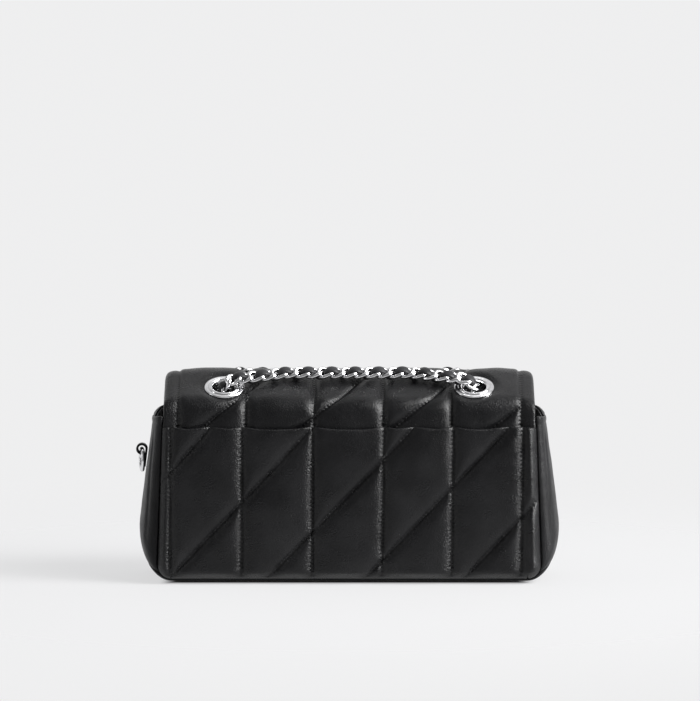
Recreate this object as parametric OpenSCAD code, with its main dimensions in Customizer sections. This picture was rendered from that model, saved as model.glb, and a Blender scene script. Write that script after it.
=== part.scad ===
// Quilted chain shoulder bag: soft box body with gussets, a back slip pocket, a flap with four
// grommets, and one closed chain strap with a leather lace woven through it, tucked inside.
// Millimetres. The slip pocket side looks towards -Y, the flap closes over the +Y side, +Z is up.

/* [Body] */
// depth of the body over its back and front panels
body_depth = 56.6; // [40:0.5:90]
// half width of the panels at the gusset top
panel_half_top = 91.6; // [60:0.5:130]
// half width of the panels at the bottom corners
panel_half_low = 94.3; // [60:0.5:130]
// height of the bottom edge of the panels above the ground
base_bulge = 2.6; // [1:0.1:6]
// corner radius of the panels
panel_corner = 6.8; // [3:0.1:20]
// height of the back and front panels
wall_top = 82.5; // [50:0.5:120]
// height of the gusset tops
gusset_top = 85; // [50:0.5:125]
// how far the gussets stand out beyond the panels at their top
gusset_swell_top = 6.9; // [3:0.1:20]
// how far the gussets stand out beyond the panels at the widest
gusset_swell_low = 9.3; // [3:0.1:20]
// corner radius of the gusset outline
gusset_corner = 19; // [8:0.5:30]
// height on the corner where gusset and base strip are joined, as an angle
joining_angle = 39; // [20:1:60]
// how square the gusset is across its width
gusset_fullness = 2.6; // [2:0.1:5]

/* [Layers] */
// leather of the panels with its wadding
panel_leather = 1.6; // [1:0.1:3]
// leather of the gussets and the base
gusset_leather = 1.4; // [0.8:0.1:3]
// board inside the walls and the flap
stiffener = 0.6; // [0.3:0.1:2]
// lining fabric with its backing
lining = 0.6; // [0.3:0.1:2]
// leather of the flap with its wadding
flap_skin = 1.4; // [0.8:0.1:3]
// gap between pieces that move against each other
run_gap = 0.3; // [0.2:0.05:1]
// gap between pieces that lie loosely together
lay_gap = 0.1; // [0.05:0.05:0.5]

/* [Slip pocket] */
// height of the slip pocket mouth
mouth_top = 77; // [40:0.5:110]
// clear depth of the slip pocket
pocket_gap = 4.2; // [4.1:0.1:12]
// leather of the slip pocket
pocket_skin = 1.4; // [0.8:0.1:3]
// lining of the slip pocket
pocket_lining = 0.4; // [0.2:0.1:1]

/* [Inner pocket] */
// width of the inner pocket
inner_w = 84; // [40:1:120]
// height of the inner pocket
inner_h = 46; // [20:1:65]
// height of its bottom above the ground
inner_z = 24; // [15:1:60]
// clear depth of the inner pocket
inner_gap = 1.2; // [0.5:0.1:6]

/* [Base] */
// thickness of the base board
board_t = 1.4; // [0.8:0.1:4]
// half length of the base board
board_half = 84; // [40:0.5:120]

/* [Flap] */
// half width of the flap
flap_half = 91.2; // [55:0.5:130]
// radius of the tight bends at the back and front edge of the top
roll_r = 9; // [5:0.5:20]
// radius over the middle of the top
crown_r = 18.3; // [8:0.5:40]
// how far the sloping parts of the top look up
slope = 63.7; // [40:0.5:85]
// height of the line the flap folds on
hinge_z = 84.5; // [50:0.5:125]
// height of the flap's lower edge at the front
flap_low = 27; // [10:0.5:70]
// radius of the flap's lower corners
flap_corner = 24; // [5:0.5:45]
// radius of the flap's upper corners
flap_shoulder = 5; // [1:0.5:8]
// how far the flap stands out behind the hinge line
flap_back = 1.5; // [0:0.1:4]
// radius of the magnets in flap and front
magnet_r = 7; // [3:0.5:12]
// height of the magnets
magnet_z = 46; // [30:1:75]

/* [Grommets] */
// distance between the grommets of one side
grommet_span = 123; // [60:1:160]
// radius of the hole for the chain
grommet_bore = 6; // [5:0.1:9]
// how far the grommets sit below the middle of the sloping top
grommet_drop = 2; // [0:0.1:4]
// outer radius of the grommet
grommet_r = 9.9; // [7:0.1:14]
// outer radius of the raised step
grommet_step_r = 7.7; // [6.5:0.1:12]
// thickness of the flange
grommet_flange = 0.7; // [0.5:0.1:2]
// further height of the step
grommet_step = 0.4; // [0.3:0.1:2]
// wall of the barrel
grommet_wall = 0.6; // [0.3:0.1:1.5]
// thickness of the washer inside the flap
washer_t = 0.7; // [0.4:0.1:1.5]
// outer radius of the washer
washer_r = 8; // [7:0.1:13]

/* [Chain] */
// wire diameter of a link
wire = 1.75; // [1:0.05:3]
// half width of a link at the middle of its wire
link_half = 3.3; // [2:0.05:6]
// half of the straight part of a link
link_straight = 0.5; // [0.2:0.05:4]
// how far each link is turned out of the flat of the chain
link_turn = 35; // [28:1:45]
// play between two links
link_play = 0.06; // [0.02:0.01:0.3]
// how much closer kinked links sit in a bend, against link reach and wire over the radius squared
bend_ease = 1.6; // [0:0.05:3]
// width of the woven lace
lace_w = 2.8; // [1.5:0.1:5]
// thickness of the woven lace
lace_t = 1; // [0.5:0.1:2]
// how far the lace swings over and under the links
lace_swing = 2.7; // [2:0.05:5]
// samples of the lace for each link
lace_steps = 4; // [3:1:8]

/* [Tucked chain] */
// height of the outer strands above the sloping top
strand_rise = 4.1; // [3.5:0.1:8]
// how far the back strand lies up the slope from the grommet centres
back_uphill = 7; // [0:0.5:9]
// how far the front strand lies up the slope from the grommet centres
front_uphill = -1; // [-3:0.5:8]
// how far outside the grommet's middle the chain runs down through it
drop_shift = 1; // [0:0.1:2]
// distance of the chain's middle from the back lining
run_off = 5.8; // [4:0.1:15]
// sideways shift of the front pair of chain runs
run_shift = 11; // [9:0.5:20]
// bend radius of the chain at the grommets
rim_bend = 7.6; // [5:0.1:12]
// distance between two runs of the chain on the floor
run_pitch = 8.6; // [8:0.1:12]
// clear distance of the floor chain from the middle of the bag
middle_clear = 8; // [4:1:30]
// clear distance of the outermost run from the gusset edge line
side_clear = 7; // [5:0.5:20]
// how far the chain runs below the flap lining
under_flap = 7.5; // [4.5:0.1:12]
// how far below the hinge line the chain's way turns straight down
turn_drop = 6; // [4:0.5:10]
// how far the strands run straight down before the tucked chain takes over
cross_run = 3.6; // [3:0.1:8]

/* [Side ring] */
// outer radius of the side ring
ring_r = 6.3; // [4:0.1:12]
// wire diameter of the side ring
ring_wire = 2; // [1:0.1:3.5]
// height of the middle of the side ring
ring_z = 58.5; // [40:0.5:75]
// width of the leather tab
tab_w = 5; // [3:0.5:9]
// leather of the tab
tab_t = 1.1; // [0.8:0.1:2]
// how far the tab's rivet sits below the ring's middle
rivet_low = 1.5; // [0:0.1:3]
// radius of the tab's rivet head
rivet_r = 1.9; // [1:0.1:3]
// height of the tab's rivet head
rivet_h = 0.8; // [0.4:0.1:1.5]
// clearance of the ring's wire in the tab's loop
ring_play = 0.15; // [0.1:0.05:0.5]

/* [Hidden] */
$fn = 48;
over = 0.5; // overrun of cuts
arc_n = 8;
across_n = 14;

// walls, as distances from the middle plane of the body
back_out = body_depth / 2;
front_out = body_depth / 2;
back_y = -back_out;
front_y = front_out;
pocket_in = back_out + pocket_gap;
pocket_out = pocket_in + pocket_lining + pocket_skin;
back_inner = back_out - panel_leather - stiffener - lining;
front_inner = front_y - panel_leather - stiffener - lining;
floor_z = base_bulge + lay_gap + board_t;

// the flap's profile: a tight roll at the back and front, a slope at each, and a crown
flap_t = flap_skin + stiffener + lining;
flap_front = front_y + run_gap + flap_t;
flap_rear = back_out + flap_back;
flap_mid = (flap_front - flap_rear) / 2;
flap_reach = (flap_front + flap_rear) / 2;
slope_len = (flap_reach - roll_r * (1 - cos(slope)) - crown_r * cos(slope)) / sin(slope);
crown_z = hinge_z + roll_r * sin(slope) + slope_len * cos(slope) + crown_r * (1 - sin(slope));
hinge_y = -flap_rear + flap_t / 2;
grommet_run = slope_len / 2 - grommet_drop;
grommet_y = flap_reach - roll_r * (1 - cos(slope)) - grommet_run * sin(slope);
grommet_z = hinge_z + roll_r * sin(slope) + grommet_run * cos(slope);

// the side lines of the panels and the gussets lean inwards towards the top
gusset_half_top = panel_half_top + gusset_swell_top;
gusset_half_low = panel_half_low + gusset_swell_low;
panel_lean = atan((panel_half_low - panel_half_top) / (gusset_top - base_bulge - panel_corner));
gusset_lean = atan((gusset_half_low - gusset_half_top) / (gusset_top - gusset_corner));

// the side ring hangs on the left gusset
function lean_x(z) = gusset_half_low - (z - gusset_corner) * tan(gusset_lean);
ring_mid = ring_r - ring_wire / 2;
bearing_z = ring_z + ring_mid;
loop_bore = ring_wire / 2 + ring_play + ring_mid - sqrt(ring_mid * ring_mid - tab_w * tab_w / 4);
loop_r = loop_bore + tab_t;
tab_drop = ring_mid + rivet_low + rivet_r + lay_gap;
ring_x = max(lean_x(bearing_z) + loop_r, lean_x(ring_z - ring_r) + ring_wire / 2 + run_gap);
ring_side = ring_x + ring_wire / 2;

// the whole part is centred over the origin
shift_x = (max(ring_x + loop_r, ring_side) - gusset_half_low) / 2;
shift_y = (pocket_out - flap_front) / 2;

link_reach = link_straight + link_half;
link_pitch = 2 * link_reach - wire - link_play;

function arc_points(cx, cz, r, a0, a1, n) =
    [for (i = [0:n]) let (a = a0 + (a1 - a0) * i / n) [cx + r * cos(a), cz + r * sin(a)]];
function flip(pts) = [for (i = [len(pts) - 1:-1:0]) [-pts[i][0], pts[i][1]]];
function unit(v) = v / norm(v);

// right half of a panel's outline, from its top down to the middle of its bottom
function panel_side(top, inset) =
    let (x0 = panel_half_top + (gusset_top - top) * tan(panel_lean) - inset)
    concat([[x0, top]],
        arc_points(panel_half_low - panel_corner, base_bulge + panel_corner, panel_corner - inset,
            panel_lean, -90, arc_n));
function panel_outline(top, inset) = concat(panel_side(top, inset), flip(panel_side(top, inset)));

// a wall is an outline that is extruded from y0 to y1
module wall(outline, y0, y1) {
    translate([0, y1, 0]) rotate([90, 0, 0]) linear_extrude(y1 - y0) polygon(outline);
}

// rows of the gusset: the panel's edge line and the line of the widest outline, side and corner
function edge_rows(a0, a1, n) = [for (i = [0:n]) let (a = a0 + (a1 - a0) * i / n)
    [panel_half_low - panel_corner + panel_corner * cos(a),
     base_bulge + panel_corner + panel_corner * sin(a)]];
function full_rows(a0, a1, n) = [for (i = [0:n]) let (a = a0 + (a1 - a0) * i / n)
    [gusset_half_low - gusset_corner + gusset_corner * cos(a),
     gusset_corner + gusset_corner * sin(a)]];
side_shares = [0, 0.35, 0.7];
function side_rows(top, low) = [for (k = side_shares) top * (1 - k) + low * k];
gusset_edge_line = concat(
    side_rows([panel_half_top, gusset_top], edge_rows(panel_lean, panel_lean, 1)[0]),
    edge_rows(panel_lean, -joining_angle, arc_n));
gusset_full_line = concat(
    side_rows([gusset_half_top, gusset_top], full_rows(gusset_lean, gusset_lean, 1)[0]),
    full_rows(gusset_lean, -joining_angle, arc_n));
base_edge_line = edge_rows(-joining_angle, -90, arc_n);
base_full_line = full_rows(-joining_angle, -90, arc_n);

function swell(s) = pow(max(0, 1 - pow(abs(2 * s - 1), gusset_fullness)), 1 / gusset_fullness);
// shares across the strip, closer together at its edges
function across(j) = (1 - cos(180 * j / across_n)) / 2;

// a strip between the two panels, inset and thick as asked, closed into a solid
module strip(edge, full, inset, t) {
    rows = len(edge);
    cols = across_n + 1;
    ring = 2 * cols;
    y0 = back_y - gusset_leather;
    y1 = front_y;
    pts = [for (i = [0:rows - 1]) let (d = full[i] - edge[i], l = norm(d), u = d / l)
        for (k = [0:ring - 1])
            let (inner = k >= cols, j = inner ? ring - 1 - k : k, s = across(j),
                off = inner ? inset + t : inset, p = edge[i] + u * ((l - off) * swell(s)))
            [p[0], y0 + off + (y1 - y0 - 2 * off) * s, p[1]]];
    skin = [for (i = [0:rows - 2], k = [0:ring - 1])
        let (a = i * ring + k, b = i * ring + (k + 1) % ring)
        each [[a, b, b + ring], [a, b + ring, a + ring]]];
    caps = [for (j = [0:cols - 2])
        let (a = j, b = j + 1, c = ring - 2 - j, d = ring - 1 - j, e = (rows - 1) * ring)
        each [[a, c, b], [a, d, c], [e + a, e + b, e + c], [e + a, e + c, e + d]]];
    polyhedron(points = pts, faces = concat(skin, caps), convexity = 6);
}

module placed() { translate([shift_x, shift_y, 0]) children(); }

// profile of the flap at a depth below its outer face, from the hinge line to the front edge
function flap_line(depth, low) = concat(
    [for (i = [0:arc_n]) let (a = slope * i / arc_n)
        [flap_mid - flap_reach + roll_r - (roll_r - depth) * cos(a),
         hinge_z + (roll_r - depth) * sin(a)]],
    [for (i = [0:arc_n]) let (a = slope + (180 - 2 * slope) * i / arc_n)
        [flap_mid - (crown_r - depth) * cos(a), crown_z - crown_r + (crown_r - depth) * sin(a)]],
    [for (i = [0:arc_n]) let (a = slope * (1 - i / arc_n))
        [flap_mid + flap_reach - roll_r + (roll_r - depth) * cos(a),
         hinge_z + (roll_r - depth) * sin(a)]],
    [[flap_front - depth, low]]);

module flap_layer(depth, t, start) {
    outer = flap_line(depth, flap_low - over);
    inner = flap_line(depth + t, flap_low - over);
    difference() {
        intersection() {
            rotate([90, 0, 90]) translate([0, 0, -flap_half - over])
                linear_extrude(2 * (flap_half + over))
                    polygon(concat(outer, [for (i = [len(inner) - 1:-1:0]) inner[i]]));
            translate([0, flap_front + over, 0]) rotate([90, 0, 0])
                linear_extrude(flap_front + flap_rear + 2 * over) polygon(flap_outline());
        }
        translate([-flap_half - 2 * over, -flap_rear - over, hinge_z - over])
            cube([2 * flap_half + 4 * over, roll_r, start + over]);
        for (x = [-1, 1], s = [-1, 1]) at_grommet(x, s)
            translate([0, 0, -flap_t - over])
                cylinder(h = flap_t + 2 * over, r = grommet_bore + grommet_wall + lay_gap);
    }
}

// front view outline of the flap, with round lower corners and softer upper ones
function flap_outline() = let (
    half = concat(
        arc_points(flap_half - flap_shoulder, crown_z + over - flap_shoulder, flap_shoulder, 90, 0, arc_n),
        arc_points(flap_half - flap_corner, flap_low + flap_corner, flap_corner, 0, -90, arc_n)))
    concat(half, flip(half));

// stands children on the sloping top over a grommet, with +Z out of the leather
module at_grommet(x, s) {
    translate([x * grommet_span / 2, flap_mid + s * grommet_y, grommet_z])
        rotate([s * (slope - 90), 0, 0]) children();
}

module back_panel() {
    color("#202024") placed() wall(panel_outline(wall_top, 0), back_y, back_y + panel_leather);
}

module back_stiffener() {
    color("#b8a68a") placed()
        wall(panel_outline(wall_top, 0), back_y + panel_leather, back_y + panel_leather + stiffener);
}

module back_lining() {
    color("#3a3a40") placed()
        wall(panel_outline(wall_top, 0), -back_inner - lining, -back_inner);
}

// the pocket is a shallow tray that is sewn to the back panel along its sides and bottom
module slip_pocket_panel() {
    color("#26262a") placed() difference() {
        wall(panel_outline(mouth_top, 0), -pocket_out, back_y);
        wall(concat([[panel_half_top, mouth_top + over]], panel_side(mouth_top, pocket_skin),
            flip(panel_side(mouth_top, pocket_skin)), [[-panel_half_top, mouth_top + over]]),
            -pocket_out + pocket_skin, back_y + over);
    }
}

module slip_pocket_lining() {
    color("#44444a") placed() wall(panel_outline(mouth_top, pocket_skin),
        -pocket_out + pocket_skin, -pocket_in);
}

module front_panel() {
    color("#202024") placed() wall(panel_outline(wall_top, 0), front_y - panel_leather, front_y);
}

module front_stiffener() {
    color("#b8a68a") placed() difference() {
        wall(panel_outline(wall_top, 0), front_inner + lining, front_y - panel_leather);
        translate([0, front_y, magnet_z]) rotate([90, 0, 0])
            cylinder(h = 2 * panel_leather + stiffener + over, r = magnet_r + lay_gap);
    }
}

module front_lining() {
    color("#3a3a40") placed() wall(panel_outline(wall_top, 0), front_inner, front_inner + lining);
}

module gusset_right() {
    color("#1c1c20") placed() strip(gusset_edge_line, gusset_full_line, 0, gusset_leather);
}

module gusset_left() {
    color("#1c1c20") placed() mirror([1, 0, 0])
        strip(gusset_edge_line, gusset_full_line, 0, gusset_leather);
}

module gusset_lining_right() {
    color("#3a3a40") placed()
        strip(gusset_edge_line, gusset_full_line, gusset_leather + lay_gap, lining);
}

module gusset_lining_left() {
    color("#3a3a40") placed() mirror([1, 0, 0])
        strip(gusset_edge_line, gusset_full_line, gusset_leather + lay_gap, lining);
}

function both_ways(line) = concat(line, flip(line));

module base_strip() {
    color("#1c1c20") placed()
        strip(both_ways(base_edge_line), both_ways(base_full_line), 0, gusset_leather);
}

module base_lining() {
    color("#3a3a40") placed()
        strip(both_ways(base_edge_line), both_ways(base_full_line), gusset_leather + lay_gap, lining);
}

module base_board() {
    color("#a8977c") placed() translate([-board_half, -back_inner + lay_gap, base_bulge + lay_gap])
        cube([2 * board_half, back_inner + front_inner - 2 * lay_gap, board_t]);
}

module inner_pocket() {
    color("#46464c") placed() translate([-inner_w / 2, -back_inner, inner_z]) difference() {
        cube([inner_w, inner_gap + lining, inner_h]);
        translate([lining, -over, lining])
            cube([inner_w - 2 * lining, inner_gap + over, inner_h]);
    }
}

module body_magnet() {
    color("#9a9aa0") placed() translate([0, front_y - panel_leather, magnet_z])
        rotate([90, 0, 0]) cylinder(h = stiffener, r = magnet_r);
}

module flap_leather() {
    color("#222226") placed() {
        flap_layer(0, flap_skin, flap_t / 4);
        translate([-flap_half, hinge_y, hinge_z]) rotate([0, 90, 0])
            cylinder(h = 2 * flap_half, r = flap_t / 2);
    }
}

module flap_stiffener() {
    color("#b8a68a") placed() difference() {
        flap_layer(flap_skin, stiffener, flap_t / 2);
        translate([0, flap_front, magnet_z]) rotate([90, 0, 0])
            cylinder(h = 2 * flap_t, r = magnet_r + lay_gap);
    }
}

module flap_lining() {
    color("#3a3a40") placed() flap_layer(flap_skin + stiffener, lining, flap_t / 2);
}

module flap_magnet() {
    color("#9a9aa0") placed() translate([0, flap_front - flap_skin, magnet_z])
        rotate([90, 0, 0]) cylinder(h = stiffener, r = magnet_r);
}

// flange with a raised step, a barrel through the flap, and the rolled end under the washer
module grommet() {
    difference() {
        union() {
            cylinder(h = grommet_flange, r = grommet_r);
            cylinder(h = grommet_flange + grommet_step, r = grommet_step_r);
            translate([0, 0, -flap_t - washer_t])
                cylinder(h = flap_t + washer_t + over, r = grommet_bore + grommet_wall);
            translate([0, 0, -flap_t - washer_t - grommet_wall])
                cylinder(h = grommet_wall, r = grommet_step_r);
        }
        translate([0, 0, -flap_t - washer_t - grommet_wall - over])
            cylinder(h = flap_t + washer_t + grommet_wall + grommet_flange + grommet_step + 2 * over,
                r = grommet_bore);
    }
}

module grommet_back_left() { color("#c8c8cc") placed() at_grommet(-1, -1) grommet(); }

module grommet_back_right() { color("#c8c8cc") placed() at_grommet(1, -1) grommet(); }

module grommet_front_left() { color("#c8c8cc") placed() at_grommet(-1, 1) grommet(); }

module grommet_front_right() { color("#c8c8cc") placed() at_grommet(1, 1) grommet(); }

module grommet_washers() {
    color("#b4b4b8") placed() for (x = [-1, 1], s = [-1, 1]) at_grommet(x, s)
        translate([0, 0, -flap_t - washer_t]) difference() {
            cylinder(h = washer_t, r = washer_r);
            translate([0, 0, -over])
                cylinder(h = washer_t + 2 * over, r = grommet_bore + grommet_wall + lay_gap / 2);
        }
}

// a path is a list of corner points that are rounded with one radius
fine = 0.6; // spacing of the samples on a path

function corner(p, q, r, radius) =
    let (a = unit(q - p), b = unit(r - q), c = max(-1, min(1, a * b)), turn = acos(c))
    turn < 1 ? [q] :
    let (reach = radius * tan(turn / 2), n = unit(b - a * c), t0 = q - a * reach,
        m = max(2, ceil(radius * turn * PI / 180 / fine)))
    [for (i = [0:m]) let (g = turn * i / m) t0 + a * radius * sin(g) + n * radius * (1 - cos(g))];

function rounded(w, radius) = concat([w[0]],
    [for (i = [1:len(w) - 2]) each corner(w[i - 1], w[i], w[i + 1], radius)], [w[len(w) - 1]]);

// running length at each point of a path, longer in bends, where kinked links sit closer together
function bent(pts, i) = i < 1 || i > len(pts) - 2 ? 0 :
    let (a = pts[i] - pts[i - 1], b = pts[i + 1] - pts[i])
    acos(min(1, unit(a) * unit(b))) * PI / 90 / (norm(a) + norm(b));
function eased(pts, i) = let (k = max(bent(pts, i - 1), bent(pts, i)))
    norm(pts[i] - pts[i - 1]) * (1 + bend_ease * link_reach * wire * k * k);
function run_length(pts) = [for (i = 0, s = 0; i < len(pts);
    i = i + 1, s = s + (i < len(pts) ? eased(pts, i) : 0)) s];
function find_at(run, s, lo, hi) = hi - lo <= 1 ? lo :
    let (mid = floor((lo + hi) / 2)) run[mid] > s ? find_at(run, s, lo, mid) : find_at(run, s, mid, hi);
function upright(t, v) = unit(v - t * (t * v));

// the flat side's direction, carried along a path without twist
function heading(pts, i) = unit(pts[min(len(pts) - 1, i + 1)] - pts[max(0, i - 1)]);
function carried(pts, v0) = [for (i = 0, v = upright(heading(pts, 0), v0); i < len(pts);
    i = i + 1, v = i < len(pts) ? upright(heading(pts, i), v) : v) v];

// place, direction along and flat side's direction at a length on a path
function placed_at(pts, run, s) = let (i = find_at(run, s, 0, len(pts) - 1), d = run[i + 1] - run[i])
    pts[i] + (pts[i + 1] - pts[i]) * (d > 0 ? (s - run[i]) / d : 0);
function along_at(pts, run, s) = unit(placed_at(pts, run, min(run[len(run) - 1], s + link_reach / 2))
    - placed_at(pts, run, max(0, s - link_reach / 2)));
function flat_at(pts, run, ups, s, t, twist) = let (i = find_at(run, s, 0, len(pts) - 1),
    v = upright(t, ups[i]), w = twist * s / run[len(run) - 1]) v * cos(w) + cross(v, t) * sin(w);

module link() {
    for (e = [-1, 1]) translate([e * link_straight, 0, 0]) rotate([0, 0, e * 90])
        rotate([0, 0, -180]) rotate_extrude(angle = 180) translate([link_half, 0])
            circle(d = wire, $fn = 24);
    for (e = [-1, 1]) translate([-link_straight, e * link_half, 0]) rotate([0, 90, 0])
        cylinder(h = 2 * link_straight, d = wire, $fn = 24);
}

// stands children at p, where t runs along the chain and v is its flat side
module framed(p, t, v) {
    u = cross(v, t);
    multmatrix([[t[0], u[0], v[0], p[0]], [t[1], u[1], v[1], p[1]], [t[2], u[2], v[2], p[2]]])
        children();
}

// links from s0 on, each turned against the one before; odd tells whose turn the first one takes
module chain_along(pts, ups, s0, count, pitch, odd, twist) {
    run = run_length(pts);
    for (i = [0:count - 1]) {
        s = s0 + i * pitch;
        t = along_at(pts, run, s);
        framed(placed_at(pts, run, s), t, flat_at(pts, run, ups, s, t, twist))
            rotate([((odd + i) % 2 == 0 ? 1 : -1) * link_turn, 0, 0]) link();
    }
}

// a lace from one link to another, counted from the one at s0; it swings over one joint and under the next
module lace_along(pts, ups, s0, from, to, pitch, odd, twist) {
    run = run_length(pts);
    step = pitch / lace_steps;
    rows = [for (i = [from * lace_steps:to * lace_steps])
        let (s = s0 + i * step, t = along_at(pts, run, s), v = flat_at(pts, run, ups, s, t, twist),
            u = cross(v, t), g = 180 * (i / lace_steps + odd), c = placed_at(pts, run, s),
            lift = lace_swing * sin(g), tilt = atan(lace_swing * PI * cos(g) / pitch),
            nrm = v * cos(tilt) - t * sin(tilt))
        each [c + v * lift + u * lace_w / 2 + nrm * lace_t / 2,
              c + v * lift - u * lace_w / 2 + nrm * lace_t / 2,
              c + v * lift - u * lace_w / 2 - nrm * lace_t / 2,
              c + v * lift + u * lace_w / 2 - nrm * lace_t / 2]];
    m = len(rows) / 4;
    skin = [for (i = [0:m - 2], k = [0:3]) let (a = i * 4 + k, b = i * 4 + (k + 1) % 4)
        each [[a, b + 4, b], [a, a + 4, b + 4]]];
    e = (m - 1) * 4;
    polyhedron(points = rows, convexity = 10,
        faces = concat(skin, [[0, 1, 2], [0, 2, 3], [e, e + 2, e + 1], [e, e + 3, e + 2]]));
}

// where the chain crosses the hinge line, inside the back lining
run_y = -back_inner + run_off;
turn_z = hinge_z - turn_drop;
cross_z = turn_z - cross_run;
drop_x = grommet_span / 2 + drop_shift;

// half a strand, from its middle over the rim of a grommet, through it and back to the hinge line
function strand_half(s, x) = let (
    g = [drop_x, flap_mid + s * grommet_y, grommet_z],
    out = [0, s * cos(slope), sin(slope)],
    uphill = [0, -s * sin(slope), cos(slope)],
    high = g + out * strand_rise + uphill * (s > 0 ? front_uphill : back_uphill),
    deep = g - out * (flap_t + under_flap))
    rounded(concat(
        [high - [drop_x, 0, 0], high - [drop_x / 2, 0, 0], g + out * strand_rise, deep],
        s > 0 ? [[x, run_y + rim_bend, deep[2]]] : [],
        [[x, run_y, turn_z], [x, run_y, cross_z]]), rim_bend);
function strand_out(s) = [0, s * cos(slope), sin(slope)];
function other_half(pts) = [for (i = [len(pts) - 1:-1:1]) [-pts[i][0], pts[i][1], pts[i][2]]];
function tip(list) = list[len(list) - 1];

back_half = strand_half(-1, drop_x);
front_half = strand_half(1, drop_x + run_shift);
back_half_ups = carried(back_half, strand_out(-1));
front_half_ups = carried(front_half, strand_out(1));
back_path = concat(other_half(back_half), back_half);
front_path = concat(other_half(front_half), front_half);
back_ups = concat(other_half(back_half_ups), back_half_ups);
front_ups = concat(other_half(front_half_ups), front_half_ups);
back_len = tip(run_length(back_half));
front_len = tip(run_length(front_half));
back_n = floor(back_len / link_pitch);
front_n = floor(front_len / link_pitch);

// the surplus lies on the base board in one long flat turn inside another, and rises again
store_z = floor_z + link_half * cos(link_turn) + wire / 2 + lay_gap;
store_out = panel_half_low - side_clear;
store_front = front_inner - run_off;
floor_bend = (back_inner + front_inner) / 2 - run_off - run_pitch - lay_gap;
store_path = rounded([
    [drop_x, run_y, cross_z],
    [drop_x, run_y, store_z],
    [middle_clear, run_y, store_z],
    [middle_clear, store_front, store_z],
    [store_out, store_front, store_z],
    [store_out, run_y + run_pitch, store_z],
    [middle_clear + run_pitch, run_y + run_pitch, store_z],
    [middle_clear + run_pitch, store_front - run_pitch, store_z],
    [store_out - run_pitch, store_front - run_pitch, store_z],
    [drop_x + run_shift, run_y, cross_z - cross_run],
    [drop_x + run_shift, run_y, cross_z]], floor_bend);
store_ups = carried(store_path, tip(back_half_ups));
store_len = tip(run_length(store_path));
store_s0 = link_pitch * (back_n + 1) - back_len;
store_end = link_pitch * (front_n + 1) - front_len;
store_n = ceil((store_len - store_s0 - store_end) / link_pitch) + 1;
store_pitch = (store_len - store_s0 - store_end) / (store_n - 1);
end_t = -heading(front_half, len(front_half) - 1);
end_v = upright(end_t, tip(store_ups));
end_u = cross(end_v, end_t);
store_twist = atan2(tip(front_half_ups) * end_u, tip(front_half_ups) * end_v);
front_odd = (back_n + store_n + front_n) % 2;
module chain_back_strand() {
    color("#d0d0d4") placed() chain_along(back_path, back_ups, back_len - back_n * link_pitch,
        2 * back_n + 1, link_pitch, back_n % 2, 0);
}

module chain_front_strand() {
    color("#d0d0d4") placed() chain_along(front_path, front_ups, front_len - front_n * link_pitch,
        2 * front_n + 1, link_pitch, (front_n + front_odd) % 2, 0);
}

module lace_back_strand() {
    color("#17171a") placed() lace_along(back_path, back_ups, back_len, -back_n, back_n, link_pitch, 0, 0);
}

module lace_front_strand() {
    color("#17171a") placed() lace_along(front_path, front_ups, front_len, -front_n, front_n,
        link_pitch, front_odd, 0);
}

module stored_chain() {
    chain_along(store_path, store_ups, store_s0, store_n, store_pitch, (back_n + 1) % 2, store_twist);
}

module stored_lace(side) {
    lace_along(store_path, store_ups, store_s0, 0, store_n - 1, store_pitch, back_n + 1 + side, store_twist);
}

module chain_stored_right() { color("#d0d0d4") placed() stored_chain(); }

module chain_stored_left() { color("#d0d0d4") placed() mirror([1, 0, 0]) stored_chain(); }

module lace_stored_right() { color("#17171a") placed() stored_lace(0); }

module lace_stored_left() { color("#17171a") placed() mirror([1, 0, 0]) stored_lace(1); }

// a loop of leather around the ring's top, its tail down the gusset under the rivet
module ring_tab() {
    color("#1a1a1d") placed() mirror([1, 0, 0]) translate([ring_x, 0, bearing_z]) difference() {
        union() {
            translate([0, tab_w / 2, 0]) rotate([90, 0, 0]) cylinder(h = tab_w, r = loop_r);
            rotate([0, -gusset_lean, 0]) translate([-loop_r + lay_gap, -tab_w / 2, -tab_drop])
                cube([tab_t, tab_w, tab_drop]);
        }
        translate([0, tab_w / 2 + over, 0]) rotate([90, 0, 0])
            cylinder(h = tab_w + 2 * over, r = loop_bore);
    }
}

module ring_tab_rivet() {
    color("#c8c8cc") placed() mirror([1, 0, 0]) translate([ring_x, 0, bearing_z])
        rotate([0, -gusset_lean, 0])
            translate([-loop_r + tab_t + lay_gap, 0, -tab_drop + rivet_r + lay_gap])
                rotate([0, 90, 0]) cylinder(h = rivet_h, r = rivet_r);
}

module side_ring() {
    color("#d0d0d4") placed() mirror([1, 0, 0]) translate([ring_x, 0, ring_z])
        rotate([0, 90, 0]) rotate_extrude() translate([ring_mid, 0]) circle(d = ring_wire, $fn = 32);
}

back_panel();
back_stiffener();
back_lining();
slip_pocket_panel();
slip_pocket_lining();
front_panel();
front_stiffener();
front_lining();
gusset_left();
gusset_right();
gusset_lining_left();
gusset_lining_right();
base_strip();
base_lining();
base_board();
inner_pocket();
body_magnet();
ring_tab();
ring_tab_rivet();
chain_stored_left();
chain_stored_right();
lace_stored_left();
lace_stored_right();
flap_leather();
flap_stiffener();
flap_lining();
flap_magnet();
grommet_back_left();
grommet_back_right();
grommet_front_left();
grommet_front_right();
grommet_washers();
chain_back_strand();
chain_front_strand();
lace_back_strand();
lace_front_strand();
side_ring();
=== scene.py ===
import math

import bpy
import numpy as np
from mathutils import Matrix, Vector


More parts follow.
